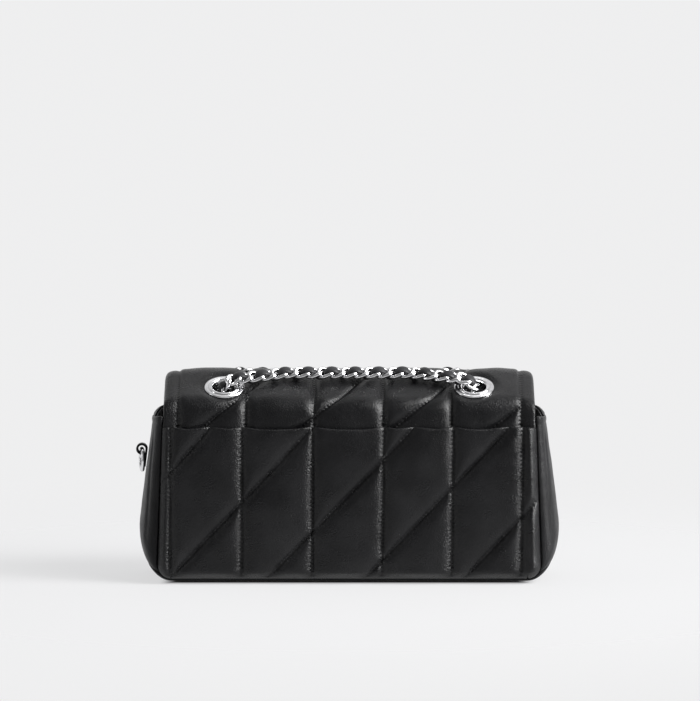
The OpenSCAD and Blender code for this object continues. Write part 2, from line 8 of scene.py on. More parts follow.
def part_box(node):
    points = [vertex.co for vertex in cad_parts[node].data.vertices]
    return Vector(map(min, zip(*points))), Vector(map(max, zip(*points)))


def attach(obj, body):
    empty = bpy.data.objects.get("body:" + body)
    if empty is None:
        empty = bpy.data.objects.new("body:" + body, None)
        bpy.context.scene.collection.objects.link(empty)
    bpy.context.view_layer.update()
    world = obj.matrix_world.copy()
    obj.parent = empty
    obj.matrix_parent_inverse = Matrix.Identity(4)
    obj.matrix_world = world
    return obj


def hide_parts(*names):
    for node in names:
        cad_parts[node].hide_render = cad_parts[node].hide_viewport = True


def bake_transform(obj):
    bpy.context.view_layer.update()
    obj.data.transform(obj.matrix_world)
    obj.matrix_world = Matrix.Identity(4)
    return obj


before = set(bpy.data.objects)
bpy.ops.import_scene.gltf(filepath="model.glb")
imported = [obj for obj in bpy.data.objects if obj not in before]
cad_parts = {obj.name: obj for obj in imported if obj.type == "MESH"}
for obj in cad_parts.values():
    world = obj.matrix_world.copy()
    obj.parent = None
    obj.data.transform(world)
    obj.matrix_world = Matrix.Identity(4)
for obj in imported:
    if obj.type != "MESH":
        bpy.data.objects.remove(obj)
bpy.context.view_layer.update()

# Millimetres from the part's source. The bag's own middle is moved by SHIFT, so that the whole
# part with its side ring stands over the origin.
SHIFT = np.array([1.146, 1.55, 0.0])
BACK_Y = FRONT_Y = 28.3
POCKET_Y = 34.3
INNER_Y = 25.5
# the panels' half width at top and foot, the base's height, the corners' radius and the top edges
PANEL_TOP, PANEL_LOW = 91.6, 94.3
BASE_BULGE = 2.6
PANEL_CORNER = 6.8
WALL_TOP = 82.5
MOUTH = 77.3
GUSSET_TOP = 85.0
# the gussets' soft leather swells a little past the solids
GUSSET_HALF_TOP, GUSSET_HALF_LOW = 97.3, 104.2
GUSSET_CORNER = 19.0
# the gusset strip's length down to its corner, its width, and the length of its corner
GUSSET_RUN, GUSSET_DEPTH, CORNER_RUN = 76.0, 58.0, 30.0
# the soft corners are taller than they are wide, and the hem sags a little under the walls' top
CORNER_WIDE, CORNER_TALL = 16.2, 26.0
HEM_TOP, HEM_SAG = 83.0, 1.6
JOINING = math.radians(39)
# the flap: upright behind up to the hinge line, a roll, a slope, the crown, and the same down in front
FLAP_HALF = 91.2
FLAP_REAR, FLAP_FRONT = 29.8, 31.2
HINGE_Z = 84.5
ROLL_R, CROWN_R = 9.0, 18.3
SLOPE = math.radians(63.7)
SLOPE_LEN = 19.42
ROLL_RUN, CROWN_RUN = ROLL_R * SLOPE, CROWN_R * (math.pi - 2 * SLOPE)
BORDER = 7.2
FLAP_LOW = 27.0
FLAP_CORNER = 24.0
FLAP_T = 2.6
# where the flap's top begins to turn down beyond the gussets, how wide that edge is, and its drop
EDGE_START, EDGE_WIDE, EDGE_DROP = 86.2, 5.2, 3.8
BASE_FLAT = 83.0
# the four borders of a grid
BORDERS = ((0, slice(None)), (-1, slice(None)), (slice(None), 0), (slice(None), -1))
# how far below the slope's middle a grommet sits
GROMMET_DROP = 2.0
GROMMET_X, GROMMET_Y, GROMMET_Z = 61.5, 18.575, 95.985
STITCH_PITCH = 2.0
EDGE_ROWS = np.array([1.6, 1.15, 0.7, 0.35, 0.12, 0.0])
LEAN = math.atan((PANEL_LOW - PANEL_TOP) / (GUSSET_TOP - BASE_BULGE - PANEL_CORNER))
GUSSET_LEAN = math.atan((GUSSET_HALF_LOW - GUSSET_HALF_TOP) / (HEM_TOP - CORNER_TALL))
GUSSET_START = math.atan(CORNER_TALL / CORNER_WIDE * math.tan(GUSSET_LEAN))

# the photo's scale: its middle column, its ground row, and millimetres for a pixel across and up
PHOTO_MIDDLE, PHOTO_GROUND = 349.0, 583.5
PIXEL_WIDE, PIXEL_TALL = 0.493, 0.495
# seams in the photo: columns of the pocket's upright ones at top and foot, both ends of its rising
# ones, and columns of the flap's upright ones
UPRIGHT_PX = ((171.0, 170.0), (242.2, 241.4), (312.6, 311.8), (383.8, 381.2), (452.6, 450.6), (521.8, 519.8))
RISING_PX = ((170.5, 576.5, 318, 421), (267, 577, 420, 421), (363.5, 578, 514, 421),
             (464, 576.5, 535.5, 500.4), (162.0, 481.6, 215, 423))
FLAP_UPRIGHT_PX = (245.7, 314.0, 382.6, 450.4)
SEAM_LOW, SEAM_TOP = 3.0, 84.0
# the width that the picture spans at the camera's aim
VIEW_WIDE, VIEW_DISTANCE, VIEW_TILT = 0.3428, 2.4, math.radians(5)
SENSOR = 36
PALE = (0.86, 0.86, 0.865, 1)
FLOOR_GREY = (0.53, 0.53, 0.535, 1)
SKY = (0.95, 0.97, 1.0, 1)


def place_camera():
    lens_data = bpy.data.cameras.new("camera")
    camera = bpy.data.objects.new("camera", lens_data)
    bpy.context.collection.objects.link(camera)
    aim = Vector((0.0015, -0.0327, 0.1157))
    camera.location = aim + Vector((0, -math.cos(VIEW_TILT), math.sin(VIEW_TILT))) * VIEW_DISTANCE
    camera.rotation_euler = (math.pi / 2 - VIEW_TILT, 0, 0)
    lens_data.sensor_width = SENSOR
    lens_data.lens = SENSOR * VIEW_DISTANCE / VIEW_WIDE
    bpy.context.scene.camera = camera


def add_lamp(name, place, aim, size, power):
    data = bpy.data.lights.new(name, "AREA")
    data.shape = "RECTANGLE"
    data.size, data.size_y = size
    data.energy = power
    lamp = bpy.data.objects.new(name, data)
    bpy.context.collection.objects.link(lamp)
    lamp.location = place
    lamp.rotation_euler = (Vector(aim) - Vector(place)).to_track_quat("-Z", "Y").to_euler()


def new_node(tree, kind, **values):
    """A shader node; each value sets a property of it, or else an input."""
    made = tree.nodes.new(kind)
    for key, value in values.items():
        if hasattr(made, key):
            setattr(made, key, value)
        else:
            made.inputs[key].default_value = value
    return made


def split_axes(tree, vector):
    split = tree.nodes.new("ShaderNodeSeparateXYZ")
    tree.links.new(vector, split.inputs[0])
    return tuple(split.outputs)


def mix_shaders(tree, share, first, second):
    mix = tree.nodes.new("ShaderNodeMixShader")
    for i, value in enumerate((share, first, second)):
        tree.links.new(value, mix.inputs[i])
    return mix.outputs[0]


def camera_rays(tree):
    """Camera rays, and the same with those that come by way of metal or glass."""
    path = tree.nodes.new("ShaderNodeLightPath")
    camera = path.outputs["Is Camera Ray"]
    bent = calc(tree, "ADD", path.outputs["Is Glossy Ray"], path.outputs["Is Transmission Ray"])
    return camera, calc(tree, "MAXIMUM", bent, camera)


def light_world():
    world = bpy.data.worlds.new("studio")
    bpy.context.scene.world = world
    world.use_nodes = True
    tree = world.node_tree
    tree.nodes.clear()
    where = tree.nodes.new("ShaderNodeTexCoord")
    _, ahead, above = split_axes(tree, where.outputs["Generated"])
    camera, shown = camera_rays(tree)
    # the pale background shows to the camera and, where they look back at it, in the metal parts
    seen = new_node(tree, "ShaderNodeBackground", Color=PALE)
    behind = spread(tree, ahead, 0.27, 0.9, -0.25, 0.75, "SMOOTHSTEP")
    below = spread(tree, above, 0.0, 0.8, 0.0, -0.3, "SMOOTHSTEP")
    around = calc(tree, "MAXIMUM", behind, below)
    tree.links.new(calc(tree, "MAXIMUM", around, camera), seen.inputs["Strength"])
    soft = new_node(tree, "ShaderNodeBackground", Color=SKY)
    tree.links.new(spread(tree, ahead, 0.2, 0.6, -0.9, 0.1, "SMOOTHSTEP"), soft.inputs["Strength"])
    out = tree.nodes.new("ShaderNodeOutputWorld")
    tree.links.new(mix_shaders(tree, shown, soft.outputs[0], seen.outputs[0]), out.inputs[0])


def lay_floor():
    bpy.ops.object.select_all(action="DESELECT")
    bpy.ops.mesh.primitive_circle_add(vertices=96, radius=2.2, fill_type="NGON", location=(0, 0, 0))
    floor = bpy.context.active_object
    floor.name = "studio_floor"
    mat = bpy.data.materials.new("pale_floor")
    mat.use_nodes = True
    tree = mat.node_tree
    tree.nodes.clear()
    where = tree.nodes.new("ShaderNodeTexCoord").outputs["Object"]
    paint = new_node(tree, "ShaderNodeBsdfDiffuse", Color=FLOOR_GREY)
    pale = new_node(tree, "ShaderNodeEmission", Color=PALE)
    # beside the bag the floor glows like the background, so that only the shadow at its foot is deep
    half_wide, half_deep, soft_edge, glow = 0.084, 0.02, 0.009, 0.74
    _, shown = camera_rays(tree)
    x, y, _ = split_axes(tree, where)
    aside = calc(tree, "SUBTRACT", calc(tree, "ABSOLUTE", x), half_wide)
    before = calc(tree, "SUBTRACT", calc(tree, "ABSOLUTE", y), half_deep)
    clear_of_bag = spread(tree, calc(tree, "MAXIMUM", aside, before), 0.0, glow, 0.0, soft_edge, "SMOOTHSTEP")
    lit = mix_shaders(tree, calc(tree, "MULTIPLY", shown, clear_of_bag), paint.outputs[0], pale.outputs[0])
    # further out it fades into the background
    length = new_node(tree, "ShaderNodeVectorMath", operation="LENGTH")
    tree.links.new(where, length.inputs[0])
    fade = spread(tree, length.outputs["Value"], 0.0, 1.0, 0.14, 0.46, "SMOOTHSTEP")
    clear = tree.nodes.new("ShaderNodeBsdfTransparent")
    out = tree.nodes.new("ShaderNodeOutputMaterial")
    tree.links.new(mix_shaders(tree, fade, lit, clear.outputs[0]), out.inputs[0])
    floor.data.materials.append(mat)


def start_finish(name):
    mat = bpy.data.materials.new(name)
    mat.use_nodes = True
    tree = mat.node_tree
    shader = next(n for n in tree.nodes if n.type == "BSDF_PRINCIPLED")
    where = tree.nodes.new("ShaderNodeTexCoord")
    return mat, tree, shader, where.outputs["Object"]


def add_noise(tree, place, scale, detail=3.0, rough=0.5):
    noise = new_node(tree, "ShaderNodeTexNoise", Scale=scale, Detail=detail, Roughness=rough)
    tree.links.new(place, noise.inputs["Vector"])
    return noise.outputs["Fac"]


def spread(tree, value, low, high, lo=0.3, hi=0.7, kind="LINEAR"):
    """A value between lo and hi, spread from low to high."""
    rng = new_node(tree, "ShaderNodeMapRange", interpolation_type=kind)
    for socket, number in (("From Min", lo), ("From Max", hi), ("To Min", low), ("To Max", high)):
        rng.inputs[socket].default_value = number
    tree.links.new(value, rng.inputs["Value"])
    return rng.outputs[0]


def tint_between(tree, value, dark, light):
    ramp = tree.nodes.new("ShaderNodeValToRGB")
    for element, place, tint in zip(ramp.color_ramp.elements, (0.35, 0.68), (dark, light)):
        element.position = place
        element.color = tint + (1,)
    tree.links.new(value, ramp.inputs[0])
    return ramp.outputs[0]


def add_bump(tree, height, distance, strength=1.0, under=None):
    bump = new_node(tree, "ShaderNodeBump", Strength=strength, Distance=distance)
    tree.links.new(height, bump.inputs["Height"])
    if under is not None:
        tree.links.new(under, bump.inputs["Normal"])
    return bump.outputs[0]


def calc(tree, operation, *values):
    made = new_node(tree, "ShaderNodeMath", operation=operation)
    for i, value in enumerate(values):
        if isinstance(value, (int, float)):
            made.inputs[i].default_value = value
        else:
            tree.links.new(value, made.inputs[i])
    return made.outputs[0]


def leather(name, dark, light, rough=(0.25, 0.34), grain=0.00013, seams=False, level=0.27):
    """Black leather with a fine grain; seams adds the ridges that the threads pull up."""
    mat, tree, shader, place = start_finish(name)
    tree.links.new(tint_between(tree, add_noise(tree, place, scale=55, detail=4), dark, light), shader.inputs["Base Color"])
    tree.links.new(spread(tree, add_noise(tree, place, scale=160, detail=5), *rough), shader.inputs["Roughness"])
    cells = new_node(tree, "ShaderNodeTexVoronoi", feature="SMOOTH_F1", Scale=1500, Smoothness=0.6)
    tree.links.new(place, cells.inputs["Vector"])
    fine = add_noise(tree, place, scale=2600)
    normal = add_bump(tree, add_noise(tree, place, scale=320, detail=4), distance=0.0002, strength=0.35)
    normal = add_bump(tree, calc(tree, "ADD", cells.outputs["Distance"], fine), grain, under=normal)
    if seams:
        read = new_node(tree, "ShaderNodeAttribute", attribute_type="GEOMETRY", attribute_name="seam")
        along, near, _ = split_axes(tree, read.outputs["Vector"])
        wave = calc(tree, "COSINE", calc(tree, "MULTIPLY", along, 2 * math.pi / STITCH_PITCH))
        fade = calc(tree, "EXPONENT", calc(tree, "MULTIPLY", calc(tree, "MULTIPLY", near, near), -1.0))
        normal = add_bump(tree, calc(tree, "MULTIPLY", wave, fade), distance=0.00008, under=normal)
    tree.links.new(normal, shader.inputs["Normal"])
    shader.inputs["Specular IOR Level"].default_value = level
    return mat


def fabric(name, dark, light, pitch=0.0006):
    """A thin woven lining."""
    mat, tree, shader, place = start_finish(name)
    tree.links.new(tint_between(tree, add_noise(tree, place, scale=90, detail=4), dark, light), shader.inputs["Base Color"])
    x, y, z = split_axes(tree, place)
    turns = 2 * math.pi / pitch
    weft = calc(tree, "SINE", calc(tree, "MULTIPLY", calc(tree, "ADD", x, y), turns))
    warp = calc(tree, "SINE", calc(tree, "MULTIPLY", calc(tree, "SUBTRACT", z, x), turns))
    normal = add_bump(tree, calc(tree, "MULTIPLY", weft, warp), distance=0.00008, strength=0.8)
    soft = add_noise(tree, place, scale=130, detail=4)
    normal = add_bump(tree, soft, distance=0.0005, strength=0.5, under=normal)
    tree.links.new(normal, shader.inputs["Normal"])
    shader.inputs["Roughness"].default_value = 0.75
    shader.inputs["Sheen Weight"].default_value = 0.25
    shader.inputs["Sheen Roughness"].default_value = 0.4
    return mat


def metal(name, dark, light, rough=(0.1, 0.2)):
    mat, tree, shader, place = start_finish(name)
    tree.links.new(tint_between(tree, add_noise(tree, place, 240, 3), dark, light), shader.inputs["Base Color"])
    tree.links.new(spread(tree, add_noise(tree, place, 700, 5, 0.7), *rough), shader.inputs["Roughness"])
    scratch = add_noise(tree, place, 1800, 4, 0.7)
    tree.links.new(add_bump(tree, scratch, 0.000012, 0.6), shader.inputs["Normal"])
    shader.inputs["Metallic"].default_value = 1.0
    return mat


def board(name, dark, light):
    mat, tree, shader, place = start_finish(name)
    tree.links.new(tint_between(tree, add_noise(tree, place, 900, 6, 0.7), dark, light), shader.inputs["Base Color"])
    tree.links.new(add_bump(tree, add_noise(tree, place, 1500, 5), 0.00008, 0.7), shader.inputs["Normal"])
    shader.inputs["Roughness"].default_value = 0.85
    return mat


QUILTED = leather("quilted_black_leather", (0.003, 0.003, 0.0034), (0.007, 0.007, 0.0076), seams=True)
PLAIN = leather("plain_black_leather", (0.004, 0.004, 0.0045), (0.009, 0.009, 0.0098), (0.34, 0.46), level=0.18)
# painted shade: the base strip's leather is a darker, less reflective copy of the plain leather, standing in for the
# shadow that the underside lies in at the bag's foot
SHADED_BASE_LEATHER = leather("base_leather_painted_shade", (0.003, 0.003, 0.0034), (0.007, 0.007, 0.0076), (0.5, 0.6), level=0.08)
LACE = leather("lace_leather", (0.008, 0.008, 0.009), (0.024, 0.024, 0.026), (0.4, 0.58), 0.00004)
THREAD = leather("waxed_thread", (0.002, 0.002, 0.0022), (0.004, 0.004, 0.0044), (0.8, 0.9), 0.00002, level=0.03)
LINING = fabric("lining_twill", (0.012, 0.012, 0.014), (0.026, 0.026, 0.030))
SILVER = metal("polished_silver_metal", (0.72, 0.72, 0.735), (0.86, 0.86, 0.87))
STEEL = metal("plain_steel", (0.45, 0.45, 0.47), (0.6, 0.6, 0.62), (0.25, 0.4))
MAGNET = metal("magnet_steel_finish", (0.5, 0.5, 0.52), (0.64, 0.64, 0.66), (0.2, 0.35))
BOARD = board("bonded_board_finish", (0.28, 0.22, 0.15), (0.42, 0.34, 0.25))


def unit(rows):
    return rows / np.linalg.norm(rows, axis=-1, keepdims=True)


def square_to(rows, along):
    """Each row's part at a right angle to its direction, at length 1."""
    return unit(rows - np.sum(rows * along, axis=1)[:, None] * along)


def points_of(mesh):
    """A mesh's points in millimetres."""
    co = np.empty(len(mesh.vertices) * 3)
    mesh.vertices.foreach_get("co", co)
    return co.reshape(-1, 3) * 1000


def pick(obj):
    bpy.ops.object.select_all(action="DESELECT")
    obj.select_set(True)
    bpy.context.view_layer.objects.active = obj


def make_piece(name, points, faces, finish, placed=True):
    """An object from points in millimetres, which placed moves from the bag's middle to the frame."""
    points = (np.asarray(points, dtype=float) + (SHIFT if placed else 0)) / 1000.0
    mesh = bpy.data.meshes.new(name)
    mesh.vertices.add(len(points))
    mesh.vertices.foreach_set("co", points.ravel())
    sizes = np.array([len(f) for f in faces])
    flat = np.concatenate([np.asarray(f) for f in faces])
    mesh.loops.add(len(flat))
    mesh.loops.foreach_set("vertex_index", flat.astype(np.int32))
    mesh.polygons.add(len(sizes))
    starts = np.concatenate([[0], np.cumsum(sizes)[:-1]])
    mesh.polygons.foreach_set("loop_start", starts.astype(np.int32))
    mesh.polygons.foreach_set("use_smooth", np.ones(len(sizes), dtype=bool))
    mesh.update(calc_edges=True)
    mesh.validate()
    mesh.materials.append(finish)
    obj = bpy.data.objects.new(name, mesh)
    bpy.context.collection.objects.link(obj)
    return obj


def tube_faces(rows, ring):
    """Faces of a tube made of rings of points, closed at both ends."""
    faces = []
    for r in range(rows - 1):
        for k in range(ring):
            a, b = r * ring + k, r * ring + (k + 1) % ring
            faces.append((a, b, b + ring, a + ring))
    return faces + [tuple(range(ring))[::-1], tuple(range((rows - 1) * ring, rows * ring))]


def shell(name, outer, inner, finish, seam=None):
    """A closed piece from an outer and an inner grid; the outer grid's border closes it."""
    rows, cols = outer.shape[:2]
    index = np.arange(rows * cols).reshape(rows, cols)
    low = index.copy()
    low[1:-1, 1:-1] = rows * cols + np.arange((rows - 2) * (cols - 2)).reshape(rows - 2, cols - 2)
    points = np.concatenate([outer.reshape(-1, 3), inner[1:-1, 1:-1].reshape(-1, 3)])

    def quads(ids, turned):
        a, b, c, d = ids[:-1, :-1], ids[:-1, 1:], ids[1:, 1:], ids[1:, :-1]
        order = (a, d, c, b) if turned else (a, b, c, d)
        return np.stack([q.ravel() for q in order], axis=1)

    faces = np.concatenate([quads(index, False), quads(low, True)])
    # the outer side looks away from the inner one
    mid = (rows // 2, cols // 2)
    a, b, c, _ = faces[(rows // 2) * (cols - 1) + cols // 2]
    facing = np.cross(points[b] - points[a], points[c] - points[a])
    if facing @ (outer[mid] - inner[mid]) < 0:
        faces = faces[:, ::-1]
    obj = make_piece(name, points, faces, finish)
    if seam is not None:
        # the inner side counts as far from every seam
        values = np.zeros((len(points), 3))
        values[:, 1] = 50.0
        for i, field in enumerate(seam):
            values[:rows * cols, i] = field.ravel()
        kept = obj.data.attributes.new("seam", "FLOAT_VECTOR", "POINT")
        kept.data.foreach_set("vector", values.ravel())
    return obj


def edge_steps(half, step, fine=(0.0, 0.12, 0.35, 0.7, 1.15, 1.7)):
    """Places from -half to half, closer together at both ends."""
    inner = half - fine[-1]
    middle = np.linspace(-inner, inner, max(3, int(round(2 * inner / step))) + 1)
    left = -half + np.array(fine[:-1])
    return np.concatenate([left, middle, -left[::-1]])


def span(a, b, step):
    return np.linspace(a, b, max(2, int(math.ceil(abs(b - a) / step)) + 1))


def join_steps(first, *others):
    return np.concatenate([first] + [part[1:] for part in others])


def smooth(t):
    t = np.clip(t, 0, 1)
    return t * t * (3 - 2 * t)


def dome(distance, reach):
    """0 at an edge, 1 from reach inwards, round like a quarter circle."""
    k = 1 - np.clip(distance / reach, 0, 1)
    return np.sqrt(np.clip(1 - k * k, 0, 1))


def ripple(x, v, seed, size=22.0):
    """Slow uneven waves of a soft skin, from -1 to 1."""
    total = 0
    for i in range(5):
        angle = seed * 1.7 + i * 2.39
        k = 2 * math.pi / (size * (0.6 + 0.28 * i))
        total = total + np.sin(k * (x * math.cos(angle) + v * math.sin(angle)) + seed * 3.1 + i * 1.3)
    return total / 5


def seam_field(x, v, seams, power=5.0):
    """Distance to the nearest seam, a softened distance, and the length along the nearest seam."""
    near = np.full(np.shape(x), 1e3)
    along = np.zeros(np.shape(x))
    total = np.zeros(np.shape(x))
    for line in seams:
        run = 0.0
        best = np.full(np.shape(x), 1e3)
        for (x0, v0), (x1, v1) in zip(line[:-1], line[1:]):
            dx, dv = x1 - x0, v1 - v0
            length = math.hypot(dx, dv)
            t = np.clip(((x - x0) * dx + (v - v0) * dv) / length ** 2, 0, 1)
            d = np.hypot(x - x0 - t * dx, v - v0 - t * dv)
            closer = d < near
            along = np.where(closer, run + t * length, along)
            near = np.where(closer, d, near)
            best = np.minimum(best, d)
            run += length
        total = total + (best + 0.05) ** -power
    return near, total ** (-1 / power), along


def pillow(soft, rise, reach, crown, crown_reach=10.0):
    """A padded field's height: it rises steeply from a seam, and a slow crown comes on top."""
    return rise * dome(soft, reach) ** 0.85 + crown * (1 - np.exp(-(soft / crown_reach) ** 1.5))


def stitch_template():
    """A short thread, thicker in the middle, lying along its first axis."""
    rings = ((-0.5, 0.35), (-0.32, 0.85), (0, 1.0), (0.32, 0.85), (0.5, 0.35))
    sides = 6
    points = [(along, wide * math.cos(2 * math.pi * k / sides), wide * math.sin(2 * math.pi * k / sides))
              for along, wide in rings for k in range(sides)]
    return np.array(points), tube_faces(len(rings), sides)


def lay_stitches(name, surface, seams, pitch=STITCH_PITCH, length=1.25, radius=0.21, sink=0.1, keep=None):
    """Threads along the seams of a surface, which gives a point for each (x, v)."""
    body, pattern = stitch_template()
    reach, aside = 0.3, 0.2
    spots = []
    for line in seams:
        points = np.array(line, dtype=float)
        run = np.concatenate([[0], np.cumsum(np.hypot(*np.diff(points, axis=0).T))])
        marks = np.arange(pitch / 2, run[-1], pitch)
        spots.append(np.stack([np.interp(marks + step, run, points[:, k])
                               for step in (0, reach, -reach) for k in (0, 1)], axis=1))
    spots = np.concatenate(spots)
    if keep is not None:
        spots = spots[keep(spots[:, 0], spots[:, 1])]
    x, v = spots[:, 0], spots[:, 1]
    t = unit(surface(spots[:, 2], spots[:, 3]) - surface(spots[:, 4], spots[:, 5]))
    n = np.cross(surface(x + aside, v) - surface(x - aside, v), surface(x, v + aside) - surface(x, v - aside))
    b = unit(np.cross(unit(n), t))
    n = np.cross(t, b)
    mid = surface(x, v) - n * sink
    points = (mid[:, None, :] + t[:, None, :] * (body[:, 0] * length)[None, :, None]
              + b[:, None, :] * (body[:, 1] * radius)[None, :, None]
              + n[:, None, :] * (body[:, 2] * radius)[None, :, None]).reshape(-1, 3)
    count = len(body)
    faces = [tuple(i + k * count for i in f) for k in range(len(spots)) for f in pattern]
    return make_piece(name, points, faces, THREAD)


def photo_x(px):
    return (px - PHOTO_MIDDLE) * PIXEL_WIDE


def photo_z(py):
    return (PHOTO_GROUND - py) * PIXEL_TALL


def panel_half(z):
    side = PANEL_LOW - (z - BASE_BULGE - PANEL_CORNER) * math.tan(LEAN)
    drop = np.clip(BASE_BULGE + PANEL_CORNER - z, 0, PANEL_CORNER)
    low = PANEL_LOW - PANEL_CORNER + np.sqrt(np.clip(PANEL_CORNER ** 2 - drop ** 2, 0, None))
    return np.where(z > BASE_BULGE + PANEL_CORNER, side, low)


def panel_edge(x, z):
    """Distance from the sides and the round lower corners of a panel."""
    cx, cz = PANEL_LOW - PANEL_CORNER, BASE_BULGE + PANEL_CORNER
    side = PANEL_LOW - (z - cz) * math.tan(LEAN) - np.abs(x)
    corner = PANEL_CORNER - np.hypot(np.maximum(np.abs(x) - cx, 0), np.maximum(cz - z, 0))
    low = np.where((np.abs(x) < cx) & (z < cz), z - BASE_BULGE, 1e3)
    in_corner = (np.abs(x) > cx) & (z < cz)
    return np.clip(np.where(in_corner, corner, np.minimum(side, low)), 0, None)


def corner_rows(count):
    return BASE_BULGE + PANEL_CORNER * (1 - np.cos(np.linspace(0, math.pi / 2, count)))


def panel_rows(top, count, step):
    """Heights from a panel's lower edge to its top, closer together at both."""
    low = corner_rows(count)
    return join_steps(low, span(low[-1], top - EDGE_ROWS[0], step), top - EDGE_ROWS)


def panel_grid(zs, steps, inset=0.0):
    f = steps / PANEL_LOW
    z = np.repeat(zs[:, None], len(f), axis=1)
    return f[None, :] * (panel_half(z) - inset), z


POCKET_SEAMS = [[(photo_x(top), SEAM_TOP), (photo_x(foot), SEAM_LOW)] for top, foot in UPRIGHT_PX]
POCKET_SEAMS += [[(photo_x(ax), photo_z(ay)), (photo_x(bx), photo_z(by))] for ax, ay, bx, by in RISING_PX]


def pocket_level(x, z):
    """How far the pocket's skin stands past its plane, the distance to a seam and the place along it."""
    near, soft, along = seam_field(x, z, POCKET_SEAMS)
    sunk, rim, rim_wide, bow = -2.9, 1.5, 4.0, 1.3
    puff = pillow(soft, rise=3.2, reach=6.0, crown=1.6, crown_reach=14.0)
    puff = puff + (rim - puff) * (1 - smooth(panel_edge(x, z) / rim_wide))
    level = sunk + puff + 0.35 * ripple(x, z, seed=1.0, size=26) * smooth(soft / 5)
    bulge = bow * np.cos(np.clip(x / 96, -1, 1) * math.pi / 2) * np.sin(np.clip(z / 84, 0, 1) * math.pi * 0.8)
    return level + bulge, near, along


def pocket_surface(x, z):
    level, near, _ = pocket_level(x, z)
    turn = dome(panel_edge(x, z), 4.6)
    # the mouth draws in a little, and rises where a seam holds it
    lip = np.exp(-np.clip(MOUTH - z, 0, None) / 7.0)
    rim = BACK_Y + 1.0
    y = -rim - (POCKET_Y + level - rim) * turn * (1 - 0.1 * lip)
    held = np.exp(-(near / 6.0) ** 2)
    return np.stack([x, y, z + lip * (held - 0.35)], axis=-1)


def make_pocket():
    step, skin = 0.72, 1.7
    x, z = panel_grid(panel_rows(MOUTH, 15, step), edge_steps(PANEL_LOW, step))
    outer = pocket_surface(x, z)
    _, near, along = pocket_level(x, z)
    # the mouth's edge is turned over, and the pocket's inner face lies a skin's thickness behind
    lip = dome(MOUTH - z, 1.1)
    outer[..., 1] += skin / 2 * (1 - lip)
    inner = outer.copy()
    inner[..., 1] = np.minimum(outer[..., 1] + skin * np.minimum(lip, dome(panel_edge(x, z), 1.2)), -BACK_Y - 0.3)
    obj = shell("pocket_quilt", outer, inner, QUILTED, (along, near))
    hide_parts("slip_pocket_panel", "slip_pocket_lining")
    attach(obj, "bag_body")
    stitches = lay_stitches("pocket_stitches", pocket_surface, POCKET_SEAMS,
                            keep=lambda px, pz: (pz < MOUTH - 0.8) & (panel_edge(px, pz) > 1.2))
    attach(stitches, "bag_body")


def skin_profile():
    """The skin's run, place and outward direction, from the base up the back and down the front."""
    hinge_row = 119
    rows = [(-BACK_Y - (FLAP_REAR - BACK_Y) * smooth((h - 68) / 8.5), h, -1, 0)
            for h in np.linspace(BASE_BULGE, HINGE_Z, hinge_row + 1)]

    def arc(angles, cy, cz, radius, side):
        for a in angles:
            rows.append((cy + side * radius * math.cos(a), cz + radius * math.sin(a), side * math.cos(a), math.sin(a)))

    crown_z = HINGE_Z + ROLL_R * math.sin(SLOPE) + SLOPE_LEN * math.cos(SLOPE) - CROWN_R * math.sin(SLOPE)
    arc(np.linspace(0, SLOPE, 20)[1:], -FLAP_REAR + ROLL_R, HINGE_Z, ROLL_R, -1)
    arc(np.linspace(SLOPE, math.pi - SLOPE, 24), (FLAP_FRONT - FLAP_REAR) / 2, crown_z, CROWN_R, -1)
    arc(np.linspace(SLOPE, 0, 20), FLAP_FRONT - ROLL_R, HINGE_Z, ROLL_R, 1)
    rows += [(FLAP_FRONT, h, 1, 0) for h in np.linspace(HINGE_Z, FLAP_LOW, 60)[1:]]
    y, z, ny, nz = np.array(rows).T
    run = np.concatenate([[0], np.cumsum(np.hypot(np.diff(y), np.diff(z)))])
    return run - run[hinge_row], y, z, ny, nz


RUN, SKIN_Y, SKIN_Z, SKIN_NY, SKIN_NZ = skin_profile()
V_LOW, V_END = RUN[0], RUN[-1]
V_CROWN = 2 * ROLL_RUN + 2 * SLOPE_LEN + CROWN_RUN
V_FRONT_TOP = V_END - (HINGE_Z - FLAP_LOW)


def skin_at(v):
    """The profile's place and outward direction at a run of v from the hinge line."""
    ny, nz = np.interp(v, RUN, SKIN_NY), np.interp(v, RUN, SKIN_NZ)
    size = np.hypot(ny, nz)
    return np.interp(v, RUN, SKIN_Y), np.interp(v, RUN, SKIN_Z), ny / size, nz / size


def skin_half(v):
    _, z, _, _ = skin_at(v)
    blend = smooth((v + 12) / 10)
    half = panel_half(z) * (1 - blend) + FLAP_HALF * blend
    drop = np.clip(FLAP_LOW + FLAP_CORNER - z, 0, FLAP_CORNER)
    low = FLAP_HALF - FLAP_CORNER + np.sqrt(np.clip(FLAP_CORNER ** 2 - drop ** 2, 0, None))
    return np.where(v > V_FRONT_TOP, low, half)


def skin_edge(x, v):
    half = skin_half(v)
    edge = half - np.abs(x)
    _, z, _, _ = skin_at(v)
    cx, cz = FLAP_HALF - FLAP_CORNER, FLAP_LOW + FLAP_CORNER
    in_corner = (v > V_FRONT_TOP) & (z < cz) & (np.abs(x) > cx)
    corner = FLAP_CORNER - np.hypot(np.abs(x) - cx, cz - z)
    low = np.where((v > V_FRONT_TOP) & (np.abs(x) <= cx), z - FLAP_LOW, 1e3)
    return np.clip(np.where(in_corner, corner, np.minimum(edge, low)), 0, None)


